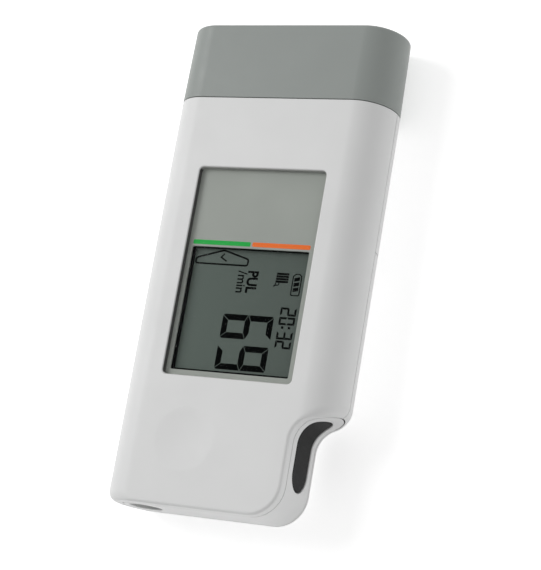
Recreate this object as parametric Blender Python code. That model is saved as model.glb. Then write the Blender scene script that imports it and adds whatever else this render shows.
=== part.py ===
"""Pocket ECG home monitor: a flat hand-held recorder with a display, a finger electrode in a side notch,
a chest electrode under a pull-off cap, a push key and a sliding battery cover.

Frame: the monitor lies on its back. +Z points out of the display, +Y towards the cap, +X to the side with
the finger notch. The origin is below the middle, at the height of the back face. Lengths are in metres.
"""

import math

import bmesh
import bpy
from mathutils import Vector

MM = 0.001

# Overall form
WIDTH = 58.5 * MM
LENGTH = 123.6 * MM
SIDE_ROUND = 8.75 * MM  # how far the elliptical sides reach past the flat front
CAP_LENGTH = 19.9 * MM
PARTING_DEPTH = 9.7 * MM  # the line between the front and back shells, below the front face

# Walls and clearances
WALL = 1.4 * MM
SEAT_GAP = 0.3 * MM  # between pieces that touch on the real monitor
SEAM_GAP = 0.3 * MM  # the visible lines between casing pieces
OVERRUN = 2.0 * MM  # how far a cutter reaches past what it cuts
STRIP_OVERRUN = 0.6 * MM  # the same for a strip that follows the rim, less than its tightest round

# Lips of the front shell inside the parting line
LIP_THICK = 0.8 * MM
LIP_REACH = 0.9 * MM
LIP_ROOT = 1.2 * MM
LIP_ABOVE_LEDGE = 3.0 * MM
LIP_ABOVE_END = 4.0 * MM

# Edges
FRONT_EDGE = 0.8 * MM
BACK_EDGE = 2.2 * MM
LEFT_CORNER = 2.6 * MM
RIGHT_CORNER = 8.0 * MM
LEAST_RADIUS = 0.4 * MM

# Notch for the index finger, at the lower right
NOTCH_DEPTH = 10.15 * MM  # from the widest side to the notch's wall
HOLLOW_RADIUS = 6.5 * MM
LEDGE_RADIUS = 3.5 * MM
LEDGE_ABOVE_END = 26.9 * MM  # where the ledge's line meets the side, above the bottom end
LEDGE_SLOPE = math.radians(20)

# Stack from the back wall to the display
CELL_DIAMETER = 10.5 * MM
TRAY_FLOOR = 0.7 * MM
BOARD_THICK = 0.8 * MM
GLASS_THICK = 1.5 * MM
GLASS_SETBACK = 1.1 * MM  # from the mask down to the display glass
MASK_THICK = 0.5 * MM
THICKNESS = (
    2 * WALL + 5 * SEAT_GAP + CELL_DIAMETER + TRAY_FLOOR + BOARD_THICK + GLASS_THICK + GLASS_SETBACK + MASK_THICK
)

# Display
WINDOW_FROM_SIDE = 11.95 * MM
WINDOW_ABOVE_END = 31.8 * MM
WINDOW_BELOW_SEAM = 18.5 * MM
WINDOW_CORNER = 1.2 * MM
WINDOW_CHAMFER = 0.3 * MM
LENS_THICK = 0.9 * MM
MASK_BORDER = 1.9 * MM  # how far the mask reaches behind the casing
VIEW_FROM_WINDOW = 1.45 * MM  # on either side
VIEW_BELOW_TOP = 20.25 * MM  # below the upper edge of the window
VIEW_SHIFT = 0.3 * MM  # the glass lies this far left of the middle
VIEW_ABOVE_EDGE = 1.65 * MM  # above the lower edge of the window
GLASS_BORDER = 1.5 * MM
HOLDER_WALL = 1.4 * MM
HOLDER_LIP = 0.5 * MM

# Thumb dish on the front
DISH_DIAMETER = 17.0 * MM
DISH_DEPTH = 0.35 * MM
DISH_LEFT = 8.1 * MM
DISH_ABOVE_END = 16.3 * MM

# Electrode rail round the notch and the bottom end
RAIL_FRONT_DEPTH = 3.25 * MM
RAIL_WIDTH = 13.4 * MM
RAIL_TIP_START = 3.6 * MM  # along the casing from the end of the side wall
RAIL_END_FROM_LEFT = 3.75 * MM
RELIEF_GAP = 0.45 * MM  # round the rail's upper end, where the cover slides past it
ELECTRODE_WIDTH = 8.7 * MM
ELECTRODE_DEPTH = 5.8 * MM  # its front edge below the front face
ELECTRODE_START = 6.7 * MM
ELECTRODE_LENGTH = 20.0 * MM
ELECTRODE_RECESS = 0.1 * MM
ELECTRODE_FLANGE = 0.8 * MM
FLANGE_BORDER = 1.0 * MM

# Battery cover and cells
COVER_LENGTH = 68.0 * MM
TONGUE_WIDTH = 4.0 * MM
TONGUE_REACH = 3.0 * MM
RIB_LENGTH = 50.0 * MM  # the tongues run on as ribs between the cells
TONGUE_THICK = 0.7 * MM
GRIP_COUNT = 5
GRIP_PITCH = 2.0 * MM
GRIP_WIDTH = 14.0 * MM
GRIP_HEIGHT = 0.9 * MM
GRIP_DEPTH = 0.35 * MM
GRIP_BELOW_EDGE = 9.0 * MM
CELL_LENGTH = 43.5 * MM
CELL_EDGE = 0.6 * MM
NUB_LENGTH = 1.0 * MM
NUB_RADIUS = 2.4 * MM
CELL_GAP = 0.7 * MM
PACK_ROOM = 6.5 * MM  # least room beside the cells, out to the casing's side and to the notch's wall
TRAY_WALL = 1.2 * MM
TRAY_OPEN = 2.3 * MM  # from the cover's inner face to the rim of the tray
EAR_RADIUS = 3.0 * MM
TAB_WIDTH = 5.0 * MM
TAB_REACH = 1.5 * MM
TAB_SHARES = (0.25, 0.75)  # where the tabs stand along the cells
PLATE_THICK = 0.4 * MM
PLATE_WIDTH = 8.6 * MM
SPRING_LENGTH = 2.6 * MM
SPRING_WIRE = 0.5 * MM
SPRING_WIDE = 6.6 * MM
SPRING_NARROW = 4.4 * MM
SPRING_TURNS = 3
DIMPLE_RADIUS = 2.0 * MM

# Push key at the bottom end
KEY_DIAMETER = 7.8 * MM
KEY_FROM_LEFT = 9.55 * MM
KEY_DEPTH = 9.2 * MM  # its middle below the front face
KEY_RECESS = 0.1 * MM
KEY_FLANGE = 0.9 * MM
KEY_FLANGE_BORDER = 1.2 * MM
KEY_STEM = 1.3 * MM
KEY_STEM_RADIUS = 1.6 * MM
KEY_TRAVEL = 0.7 * MM
KEY_DOME = 0.4 * MM  # how far the face of the key swells out at its middle
PLUNGER_LENGTH = 0.8 * MM
PLUNGER_RADIUS = 1.1 * MM
SWITCH_WIDTH = 6.0 * MM
SWITCH_LENGTH = 2.9 * MM
SWITCH_DROP = 2.4 * MM  # from the key's axis to the switch's underside

# Cap, neck and chest electrode
CAP_WALL = 1.6 * MM
CAP_TAPER = 0.27 * MM
CAP_EDGE = 0.8 * MM
CAP_CLEARANCE = 0.4 * MM
CAP_HEADROOM = 1.5 * MM  # from the top of the neck to the inside of the cap
NECK_ROOT = 4.5 * MM
NECK_EDGE = 1.2 * MM
NECK_ROOF = 2.4 * MM
PLATE_RECESS = 0.8 * MM
PLATE_BORDER = 3.6 * MM  # from the neck's side to the recess of the electrode
PLATE_PROUD = 0.7 * MM
PLATE_EDGE = 0.5 * MM
STUD_RADIUS = 2.2 * MM
STUD_LENGTH = 2.8 * MM
BEAD_WIDTH = 16.0 * MM
BEAD_HEIGHT = 0.25 * MM
BEAD_ABOVE_SEAM = 5.0 * MM
BEAD_LENGTH = 1.2 * MM

# Board and what is on it
BOARD_FROM_SIDE = 9.45 * MM
BOARD_INSET = 4.2 * MM
BOARD_BELOW_SEAM = 6.0 * MM
PROCESSOR_SIDE = 9.0 * MM
PROCESSOR_THICK = 1.2 * MM
AMPLIFIER_SIDE = 5.5 * MM
AMPLIFIER_THICK = 1.0 * MM
RADIO_WIDTH = 11.0 * MM
RADIO_LENGTH = 14.0 * MM
RADIO_THICK = 1.8 * MM
CRYSTAL_WIDTH = 2.4 * MM
CRYSTAL_LENGTH = 6.0 * MM
CRYSTAL_THICK = 1.6 * MM
BUZZER_RADIUS = 5.5 * MM
BUZZER_THICK = 3.0 * MM
PART_MARGIN = 3.0 * MM  # between the parts on the board

# Contact strips
STRIP_THICK = 0.3 * MM
STRIP_WIDTH = 4.0 * MM
STRIP_FOOT = 4.0 * MM
STRIP_BOW = 1.2 * MM

# Screws and their posts
SCREW_HEAD_RADIUS = 1.8 * MM
SCREW_HEAD_THICK = 1.2 * MM
SCREW_RADIUS = 1.0 * MM
SCREW_GRIP = 4.0 * MM  # how far the thread reaches into a post of the front shell
SCREW_FIT = 0.3 * MM
POST_RADIUS = 2.2 * MM
POST_FROM_SIDE = 6.85 * MM
UPPER_POST_BELOW_SEAM = 8.0 * MM
TRAY_POST_LOW = 7.0 * MM  # above the ledge's end of the side wall
PAD_FLOOR = 1.6 * MM

# Steps of round stretches
SIDE_STEPS = 9
CORNER_STEPS = 4
ARC_STEPS = 8
RING_STEPS = 28
RAIL_STEPS = 46
END_STEPS = 5
COIL_STEPS = 10

# Places worked out from the sizes above
HALF = WIDTH / 2
END_Y = -LENGTH / 2
TOP_Y = LENGTH / 2
SEAM_Y = TOP_Y - CAP_LENGTH
MID_Z = THICKNESS / 2
FLAT_HALF = HALF - SIDE_ROUND
PARTING_Z = THICKNESS - PARTING_DEPTH
NOTCH_X = HALF - NOTCH_DEPTH
LEDGE_Y = END_Y + LEDGE_ABOVE_END
CELL_Z = WALL + SEAT_GAP + CELL_DIAMETER / 2
TRAY_TOP_Z = WALL + 2 * SEAT_GAP + CELL_DIAMETER + TRAY_FLOOR
TRAY_LOW_Z = WALL + TRAY_OPEN
BOARD_Z = TRAY_TOP_Z + SEAT_GAP
BOARD_TOP_Z = BOARD_Z + BOARD_THICK
GLASS_Z = BOARD_TOP_Z + SEAT_GAP
MASK_Z = GLASS_Z + GLASS_THICK + GLASS_SETBACK
LENS_Z = MASK_Z + MASK_THICK + SEAT_GAP
WINDOW_WIDTH = WIDTH - 2 * WINDOW_FROM_SIDE
WINDOW_TOP_Y = SEAM_Y - WINDOW_BELOW_SEAM
WINDOW_LOW_Y = END_Y + WINDOW_ABOVE_END
WINDOW_LENGTH = WINDOW_TOP_Y - WINDOW_LOW_Y
WINDOW_Y = (WINDOW_TOP_Y + WINDOW_LOW_Y) / 2
VIEW_WIDTH = WINDOW_WIDTH - 2 * VIEW_FROM_WINDOW
VIEW_LENGTH = WINDOW_LENGTH - VIEW_BELOW_TOP - VIEW_ABOVE_EDGE
VIEW_X = -VIEW_SHIFT
VIEW_Y = WINDOW_LOW_Y + VIEW_ABOVE_EDGE + VIEW_LENGTH / 2
COVER_Y = END_Y + COVER_LENGTH
RAIL_Z = THICKNESS - RAIL_FRONT_DEPTH - RAIL_WIDTH / 2
KEY_X = -HALF + KEY_FROM_LEFT
KEY_Z = THICKNESS - KEY_DEPTH
KEY_BACK_Y = END_Y + WALL + SEAT_GAP + KEY_FLANGE + KEY_STEM
SWITCH_Y = KEY_BACK_Y + KEY_TRAVEL + SEAT_GAP + PLUNGER_LENGTH
TRAY_END_Y = SWITCH_Y + SWITCH_LENGTH + SEAT_GAP
CELL_END_Y = TRAY_END_Y + TRAY_WALL + PLATE_THICK + SPRING_LENGTH + 3 * SEAT_GAP
CELL_WHOLE = CELL_LENGTH + NUB_LENGTH
TRAY_HIGH_Y = CELL_END_Y + CELL_WHOLE + CELL_END_Y - TRAY_END_Y
CELL_PITCH = CELL_DIAMETER + CELL_GAP
PACK_X = (NOTCH_X - HALF) / 2
CELL_COUNT = int((NOTCH_X + HALF - 2 * PACK_ROOM) / CELL_PITCH)
PACK_HALF = CELL_COUNT * CELL_PITCH / 2
POST_X = HALF - POST_FROM_SIDE
POST_END_Z = TRAY_TOP_Z + SEAT_GAP
UPPER_POST_Y = SEAM_Y - UPPER_POST_BELOW_SEAM
TRAY_POST_YS = (LEDGE_Y + TRAY_POST_LOW, TRAY_HIGH_Y - EAR_RADIUS)
NECK_INSET = CAP_WALL + CAP_CLEARANCE
NECK_TOP_Y = TOP_Y - CAP_WALL - CAP_HEADROOM
NECK_FOOT_Y = SEAM_Y - NECK_ROOT
BOARD_HALF = HALF - BOARD_FROM_SIDE


def polar(centre, radius, angle):
    return (centre[0] + radius * math.cos(angle), centre[1] + radius * math.sin(angle))


def arc(centre, radius, start, end, steps):
    """Points of an arc, both ends included. Angles are in degrees."""
    return [
        polar(centre, radius, math.radians(start + (end - start) * step / steps)) for step in range(steps + 1)
    ]


def clear_scene():
    for item in list(bpy.data.objects):
        bpy.data.objects.remove(item, do_unlink=True)


def material(name, colour, roughness=0.5, metallic=0.0, alpha=1.0):
    found = bpy.data.materials.get(name)
    if found:
        return found
    made = bpy.data.materials.new(name)
    made.use_nodes = True
    shader = made.node_tree.nodes["Principled BSDF"]
    shader.inputs["Base Color"].default_value = (*colour, 1.0)
    shader.inputs["Roughness"].default_value = roughness
    shader.inputs["Metallic"].default_value = metallic
    shader.inputs["Alpha"].default_value = alpha
    made.diffuse_color = (*colour, alpha)
    return made


def white_plastic():
    return material("white_plastic", (0.80, 0.80, 0.79), 0.42)


def grey_plastic():
    return material("grey_plastic", (0.28, 0.30, 0.285), 0.5)


def black_plastic():
    return material("black_plastic", (0.02, 0.02, 0.02), 0.6)


def conductive_black():
    return material("conductive_black", (0.026, 0.026, 0.026), 0.55)


def mask_grey():
    return material("mask_grey", (0.30, 0.31, 0.27), 0.5)


def clear_plastic():
    return material("clear_plastic", (0.9, 0.92, 0.92), 0.05, alpha=0.2)


def display_glass():
    return material("display_glass", (0.085, 0.10, 0.09), 0.15)


def board_green():
    return material("board_green", (0.02, 0.15, 0.07), 0.45)


def steel():
    return material("steel", (0.62, 0.62, 0.64), 0.28, 1.0)


def nickel():
    return material("nickel", (0.70, 0.68, 0.62), 0.25, 1.0)


def cell_jacket():
    return material("cell_jacket", (0.12, 0.13, 0.15), 0.35)


def finish(mesh, name, look, smooth_below=35):
    """An object of this mesh at the world's origin, with outward faces and its own material."""
    build = bmesh.new()
    build.from_mesh(mesh)
    bmesh.ops.recalc_face_normals(build, faces=build.faces)
    build.to_mesh(mesh)
    build.free()
    made = bpy.data.objects.new(name, mesh)
    bpy.context.scene.collection.objects.link(made)
    mesh.shade_smooth()
    mesh.set_sharp_from_angle(angle=math.radians(smooth_below))
    if look:
        mesh.materials.append(look())
    return made


def solid(name, points, faces, look=None):
    mesh = bpy.data.meshes.new(name)
    mesh.from_pydata([tuple(point) for point in points], [], faces)
    return finish(mesh, name, look)


def loft(name, rings, look=None):
    """A closed solid through rings of equal length, capped at both ends."""
    count = len(rings[0])
    points = [point for ring in rings for point in ring]
    faces = [list(range(count))[::-1], [(len(rings) - 1) * count + side for side in range(count)]]
    for level in range(len(rings) - 1):
        for side in range(count):
            after = (side + 1) % count
            low, high = level * count, (level + 1) * count
            faces.append([low + side, low + after, high + after, high + side])
    return solid(name, points, faces, look)


def prism(name, outline, axis, start, end, look=None):
    """A flat outline pushed along one axis. The outline holds the two other coordinates, in X, Y, Z order."""
    place = {
        "X": lambda point, depth: (depth, point[0], point[1]),
        "Y": lambda point, depth: (point[0], depth, point[1]),
        "Z": lambda point, depth: (point[0], point[1], depth),
    }[axis]
    return loft(name, [[place(point, depth) for point in outline] for depth in (start, end)], look)


def box(name, low, high, look=None):
    outline = [(low[0], low[1]), (high[0], low[1]), (high[0], high[1]), (low[0], high[1])]
    return prism(name, outline, "Z", low[2], high[2], look)


def turned(name, centre, axis, stations, look=None, steps=RING_STEPS):
    """A round solid through (distance along the axis, radius) stations."""
    rings = []
    for along, radius in stations:
        ring = []
        for step in range(steps):
            across, up = polar((0, 0), radius, math.tau * step / steps)
            if axis == "Y":
                ring.append((centre[0] + across, centre[1] + along, centre[2] + up))
            else:
                ring.append((centre[0] + across, centre[1] + up, centre[2] + along))
        rings.append(ring)
    return loft(name, rings, look)


def rounded_rectangle(x, y, width, length, radius):
    across, up = width / 2 - radius, length / 2 - radius
    points = []
    for start, centre in (
        (0, (x + across, y + up)),
        (90, (x - across, y + up)),
        (180, (x - across, y - up)),
        (270, (x + across, y - up)),
    ):
        points += arc(centre, radius, start, start + 90, CORNER_STEPS)
    return points


def change(target, cutter, operation):
    """Uses one object as the cutter, filler or limit of another, and hides it."""
    modifier = target.modifiers.new(operation.lower() + "_" + cutter.name, "BOOLEAN")
    modifier.operation = operation
    modifier.solver = "EXACT"
    modifier.object = cutter
    cutter.hide_render = True
    cutter.display_type = "WIRE"
    return target


def cut(target, *cutters):
    for cutter in cutters:
        change(target, cutter, "DIFFERENCE")
    return target


def add(target, *others):
    for other in others:
        change(target, other, "UNION")
    return target


def half_width(z, inset=0.0):
    """Half the width of the casing's cross-section at a height, or of the same section drawn in by an inset."""
    reach = min(1.0, abs(z - MID_Z) / (MID_Z - inset))
    return FLAT_HALF + (SIDE_ROUND - inset) * math.sqrt(1 - reach**2)


def heights(low, high, inset=0.0):
    """Heights for a loft of the casing, closer together where the side turns towards a face."""
    reach = MID_Z - inset
    turn = [math.asin(max(-1.0, min(1.0, (z - MID_Z) / reach))) for z in (low, high)]
    return [
        MID_Z + reach * math.sin(turn[0] + (turn[1] - turn[0]) * step / SIDE_STEPS) for step in range(SIDE_STEPS + 1)
    ]


def edge_inset(z):
    """How far the end, the notch and the ledge draw in where their edges round into the front and back."""
    for depth, radius in ((THICKNESS - z, FRONT_EDGE), (z, BACK_EDGE)):
        if depth < radius:
            return radius - math.sqrt(radius**2 - (radius - depth) ** 2)
    return 0.0


def ledge_fillet(side, inset):
    """Centre, radius and starting angle of the round corner between the notch and the side at one height."""
    radius = max(LEDGE_RADIUS - inset, LEAST_RADIUS)
    hollow = (NOTCH_X + HOLLOW_RADIUS, hollow_y())
    reach = HOLLOW_RADIUS + inset + radius
    across = side - radius - hollow[0]
    up = math.sqrt(max(reach**2 - across**2, 0.0))
    angle = math.degrees(math.atan2(up, across))
    steepest = 90 + math.degrees(LEDGE_SLOPE)
    if angle > steepest:
        return (side - radius, hollow[1] + up), radius, angle
    drop = (inset + radius + (side - radius - HALF) * math.sin(LEDGE_SLOPE)) / math.cos(LEDGE_SLOPE)
    return (side - radius, LEDGE_Y + drop), radius, steepest


def hollow_y():
    """Height along the monitor of the middle of the notch's hollow round."""
    run = NOTCH_X + HOLLOW_RADIUS - HALF
    return LEDGE_Y + (run * math.sin(LEDGE_SLOPE) - HOLLOW_RADIUS) / math.cos(LEDGE_SLOPE)


def plan(side, inset, top):
    """Outline of the casing at one height, from the left of its top edge round by the bottom end.

    `side` is half the width there, and `inset` is how far the end, the notch and the ledge lie inside the outer faces.
    """
    low, wall = END_Y + inset, NOTCH_X - inset
    left = max(LEFT_CORNER - inset, LEAST_RADIUS)
    right = max(RIGHT_CORNER - inset, LEAST_RADIUS)
    points = [(-side, top)]
    points += arc((left - side, low + left), left, 180, 270, CORNER_STEPS)
    points += arc((wall - right, low + right), right, -90, 0, ARC_STEPS)
    centre, radius, angle = ledge_fillet(side, inset)
    share_left_out = 0.5 / ARC_STEPS
    last = angle + (180 - angle) * share_left_out
    points += arc((NOTCH_X + HOLLOW_RADIUS, hollow_y()), HOLLOW_RADIUS + inset, 180, last, ARC_STEPS)
    points += arc(centre, radius, angle - 180, 0, ARC_STEPS)
    points.append((side, top))
    return points


def casing(name, low, high, top, inset=0.0, look=None):
    """The casing's form between two heights, drawn in by an inset, up to a straight top edge."""
    rings = []
    for z in heights(low, high, inset):
        edge = inset if inset else edge_inset(z)
        rings.append([(x, y, z) for x, y in plan(half_width(z, inset), edge, top)])
    return loft(name, rings, look)


def lengthened(name, low, high, start, end, inset=0.0, look=None):
    """The casing's cross-section between two heights, pushed along Y."""
    levels = heights(low, high, inset)
    outline = [(half_width(z, inset), z) for z in levels] + [(-half_width(z, inset), z) for z in levels[::-1]]
    return prism(name, outline, "Y", start, end, look)


def section(y, inset):
    """The casing's whole cross-section at a place along Y, drawn in by an inset."""
    across, up = SIDE_ROUND - inset, MID_Z - inset
    ring = []
    for side, start in ((1, 90), (-1, -90)):
        for step in range(2 * SIDE_STEPS + 1):
            angle = math.radians(start - side * 90 * step / SIDE_STEPS)
            ring.append((side * (FLAT_HALF + across * math.cos(angle)), y, MID_Z + up * math.sin(angle)))
    return ring


def rim_stretches():
    """The stretches of the casing's outline that the electrode rail follows, from the side wall to the left corner.

    Each is (kind, start or centre, end or radius, first angle, last angle), and `hollow` stretches curve inwards.
    """
    centre, radius, angle = ledge_fillet(HALF, 0.0)
    hollow = (NOTCH_X + HOLLOW_RADIUS, hollow_y())
    corner = (NOTCH_X - RIGHT_CORNER, END_Y + RIGHT_CORNER)
    left = (LEFT_CORNER - HALF, END_Y + LEFT_CORNER)
    return [
        ("round", centre, radius, 0, angle - 180),
        ("line", polar(centre, radius, math.radians(angle - 180)), polar(hollow, HOLLOW_RADIUS, math.radians(angle))),
        ("hollow", hollow, HOLLOW_RADIUS, angle, 180),
        ("line", (NOTCH_X, hollow[1]), (NOTCH_X, corner[1])),
        ("round", corner, RIGHT_CORNER, 0, -90),
        ("line", (corner[0], END_Y), (left[0], END_Y)),
        ("round", left, LEFT_CORNER, -90, -180),
    ]


def stretch_length(stretch):
    if stretch[0] == "line":
        return math.dist(stretch[1], stretch[2])
    return stretch[2] * abs(math.radians(stretch[4] - stretch[3]))


def rim(distance):
    """A point of the casing's outline and the direction into the casing there, by the distance along the rim."""
    for stretch in rim_stretches():
        length = stretch_length(stretch)
        if distance <= length:
            break
        distance -= length
    share = min(distance / length, 1.0)
    if stretch[0] == "line":
        start, end = Vector(stretch[1]), Vector(stretch[2])
        along = (end - start).normalized()
        return start.lerp(end, share), Vector((along.y, -along.x))
    angle = math.radians(stretch[3] + (stretch[4] - stretch[3]) * share)
    outward = Vector((math.cos(angle), math.sin(angle)))
    point = Vector(stretch[1]) + stretch[2] * outward
    return point, outward if stretch[0] == "hollow" else -outward


def rim_length_to_left():
    """Length of the rim from the side wall to the start of the lower left corner."""
    return sum(stretch_length(stretch) for stretch in rim_stretches()[:-1])


def stadium_columns(start, end, radius, steps):
    """(distance, half height) columns of a strip with round ends."""
    turn = [math.radians(90 * step / END_STEPS) for step in range(END_STEPS + 1)]
    columns = [(start + radius * (1 - math.cos(angle)), radius * math.sin(angle)) for angle in turn]
    span = end - start - 2 * radius
    columns += [(start + radius + span * step / steps, radius) for step in range(1, steps)]
    columns += [(end - radius * (1 - math.cos(angle)), radius * math.sin(angle)) for angle in turn[::-1]]
    return columns


def rim_strip(name, start, end, middle, width, outer, inner, look=None, steps=RAIL_STEPS):
    """A strip with round ends, laid along the rim between two depths below the casing's surface."""
    columns = stadium_columns(start, end, width / 2, steps)
    points, faces = [], []
    index = {}
    for layer, depth in enumerate((outer, inner)):
        for number, (distance, half) in enumerate(columns):
            place, inward = rim(distance)
            at = place + inward * depth
            for side in (-1, 1):
                if side == 1 and number in (0, len(columns) - 1):
                    index[layer, number, side] = index[layer, number, -1]
                    continue
                index[layer, number, side] = len(points)
                points.append((at.x, at.y, middle + side * half))
    last = len(columns) - 1
    for number in range(last):
        for layer in (0, 1):
            corners = [
                index[layer, number, -1],
                index[layer, number + 1, -1],
                index[layer, number + 1, 1],
                index[layer, number, 1],
            ]
            faces.append(list(dict.fromkeys(corners)))
        for side in (-1, 1):
            faces.append(
                [
                    index[0, number, side],
                    index[0, number + 1, side],
                    index[1, number + 1, side],
                    index[1, number, side],
                ]
            )
    return solid(name, points, faces, look)


def rail_span(border=0.0):
    """Where the rail starts and ends along the rim, widened by a border."""
    end = rim_length_to_left() + LEFT_CORNER - RAIL_END_FROM_LEFT
    return RAIL_TIP_START - border, end + border


def rail_room(name):
    """The room that the rail takes out of the casing, with its seam."""
    start, end = rail_span(SEAM_GAP)
    return rim_strip(name, start, end, RAIL_Z, RAIL_WIDTH + 2 * SEAM_GAP, -STRIP_OVERRUN, WALL + STRIP_OVERRUN)


def post_places():
    """The posts of the front shell: two for the back shell and two for the tray."""
    return [(-POST_X, UPPER_POST_Y), (POST_X, UPPER_POST_Y)] + [(POST_X, y) for y in TRAY_POST_YS]


def tab_places():
    return [CELL_END_Y + CELL_WHOLE * share for share in TAB_SHARES]


def front_shell():
    shell = casing("front_shell", PARTING_Z + SEAM_GAP / 2, THICKNESS, SEAM_Y - SEAM_GAP / 2, look=white_plastic)
    room = casing("front_shell_room", PARTING_Z - OVERRUN, THICKNESS - WALL, SEAM_Y + OVERRUN, WALL)
    for number, (x, y) in enumerate(post_places()):
        stations = [(0, POST_RADIUS), (THICKNESS, POST_RADIUS)]
        cut(room, turned(f"post_{number}", (x, y, POST_END_Z), "Z", stations, steps=RING_STEPS // 2))
        bore = [(-OVERRUN, SCREW_RADIUS + SCREW_FIT), (SCREW_GRIP, SCREW_RADIUS + SCREW_FIT)]
        cut(shell, turned(f"post_bore_{number}", (x, y, POST_END_Z), "Z", bore, steps=RING_STEPS // 2))
    for number, y in enumerate(tab_places()):
        low = (-HALF, y - TAB_WIDTH / 2, POST_END_Z)
        high = (PACK_X - PACK_HALF - TRAY_WALL - SEAT_GAP, y + TAB_WIDTH / 2, THICKNESS)
        cut(room, box(f"tab_rib_{number}", low, high))
    cut(shell, room, rail_room("front_rail_room"), window_cutter(), dish_cutter())
    add(shell, parting_lip("lip_right", 1, LEDGE_Y + LIP_ABOVE_LEDGE))
    add(shell, parting_lip("lip_left", -1, END_Y + LIP_ABOVE_END))
    return shell


def parting_lip(name, side, start):
    """A lip along one side that reaches past the parting line, just inside the wall of the shell or cover below it."""
    wall = HALF - WALL
    outer, inner = wall - SEAT_GAP, wall - SEAT_GAP - LIP_THICK
    outline = [
        (wall + WALL / 2, PARTING_Z + SEAM_GAP),
        (outer, PARTING_Z + SEAM_GAP),
        (outer, PARTING_Z - LIP_REACH),
        (inner, PARTING_Z - LIP_REACH),
        (inner, PARTING_Z + LIP_ROOT),
        (wall + WALL / 2, PARTING_Z + LIP_ROOT),
    ]
    return prism(name, [(side * x, z) for x, z in outline], "Y", start, NECK_FOOT_Y - SEAT_GAP)


def window_cutter():
    """The display's window, with a chamfer where it meets the front face."""
    rings = []
    flare = WINDOW_CHAMFER + OVERRUN
    for z, grow in ((THICKNESS - WALL - OVERRUN, 0), (THICKNESS - WINDOW_CHAMFER, 0), (THICKNESS + OVERRUN, flare)):
        size = (WINDOW_WIDTH + 2 * grow, WINDOW_LENGTH + 2 * grow)
        outline = rounded_rectangle(0, WINDOW_Y, *size, WINDOW_CORNER + grow)
        rings.append([(x, y, z) for x, y in outline])
    return loft("window_cutter", rings)


def dish_cutter():
    """A shallow ball cap that presses the thumb dish into the front."""
    reach = DISH_DIAMETER / 2
    ball = (reach**2 + DISH_DEPTH**2) / (2 * DISH_DEPTH)
    stations = []
    for step in range(1, CORNER_STEPS + 2):
        radius = (reach + OVERRUN) * step / (CORNER_STEPS + 1)
        stations.append((ball - DISH_DEPTH - math.sqrt(ball**2 - radius**2), radius))
    place = (-DISH_LEFT, END_Y + DISH_ABOVE_END, THICKNESS)
    return turned("dish_cutter", place, "Z", stations)


def back_shell():
    top, low = SEAM_Y - SEAM_GAP / 2, COVER_Y + SEAM_GAP / 2
    shell = lengthened("back_shell", 0, PARTING_Z - SEAM_GAP / 2, low, top, look=white_plastic)
    room = lengthened("back_shell_room", WALL, PARTING_Z + OVERRUN, low - OVERRUN, top + OVERRUN, WALL)
    head, bore, pad = SCREW_HEAD_RADIUS + SCREW_FIT, SCREW_RADIUS + SCREW_FIT, SCREW_HEAD_RADIUS + WALL
    well_top = pad_top() - PAD_FLOOR
    for number, (x, y) in enumerate(post_places()[:2]):
        pad_stations = [(-OVERRUN, pad), (pad_top(), pad)]
        cut(room, turned(f"pad_{number}", (x, y, 0), "Z", pad_stations, steps=RING_STEPS // 2))
        cut(shell, turned(f"pad_well_{number}", (x, y, 0), "Z", [(-OVERRUN, head), (well_top, head)]))
        through = [(0, bore), (THICKNESS, bore)]
        cut(shell, turned(f"pad_bore_{number}", (x, y, 0), "Z", through, steps=RING_STEPS // 2))
    cut(shell, room)
    return shell


def pad_top():
    """The pads of the back shell end just below the parting line."""
    return PARTING_Z - SEAM_GAP


def battery_cover():
    top = COVER_Y - SEAM_GAP / 2
    cover = casing("battery_cover", 0, PARTING_Z - SEAM_GAP / 2, top, look=white_plastic)
    for number in range(GRIP_COUNT):
        y = top - GRIP_BELOW_EDGE - number * GRIP_PITCH
        low = (-GRIP_WIDTH / 2, y - GRIP_HEIGHT / 2, -OVERRUN)
        cut(cover, box(f"grip_{number}", low, (GRIP_WIDTH / 2, y + GRIP_HEIGHT / 2, GRIP_DEPTH)))
    room = casing("battery_cover_room", WALL, PARTING_Z + OVERRUN, top + OVERRUN, WALL)
    cut(cover, room)
    add(cover, *cover_tongues(top))
    return cut(cover, rail_room("cover_rail_room"), ledge_relief())


def ledge_relief():
    """What the rail's upper end sweeps out of the cover as the cover slides off."""
    start = rail_span(RELIEF_GAP)[0]
    radius = RAIL_WIDTH / 2 + RELIEF_GAP
    left = NOTCH_X + RELIEF_GAP
    ledge = sum(stretch_length(stretch) for stretch in rim_stretches()[:2]) - start
    upper = []
    for step in range(1, ARC_STEPS + 1):
        distance = ledge * (1 - math.cos(math.pi / 2 * step / ARC_STEPS))
        half = math.sqrt(radius**2 - (radius - distance) ** 2)
        upper.append((rim(start + distance)[0].x, half))
    tip = rim(start)[0].x
    outline = [(left, upper[-1][1])] + upper[::-1] + [(tip, 0)]
    outline += [(x, -half) for x, half in upper] + [(left, -upper[-1][1])]
    outline = [(x, RAIL_Z + half) for x, half in outline]
    return prism("ledge_relief", outline, "Y", hollow_y(), LEDGE_Y + OVERRUN)


def cover_tongues(top):
    """Ribs between the cells that end in flat tongues, which reach inside the back shell."""
    low, step = WALL / 2, WALL + SEAT_GAP
    outline = [
        (top - RIB_LENGTH, low),
        (top - SEAM_GAP, low),
        (top - SEAM_GAP, step),
        (top + TONGUE_REACH, step),
        (top + TONGUE_REACH, step + TONGUE_THICK),
        (top - RIB_LENGTH, step + TONGUE_THICK),
    ]
    tongues = []
    for number in range(CELL_COUNT - 1):
        middle = (cell_x(number) + cell_x(number + 1)) / 2
        ends = (middle - TONGUE_WIDTH / 2, middle + TONGUE_WIDTH / 2)
        tongues.append(prism(f"cover_tongue_{number}", outline, "X", *ends))
    return tongues


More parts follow.
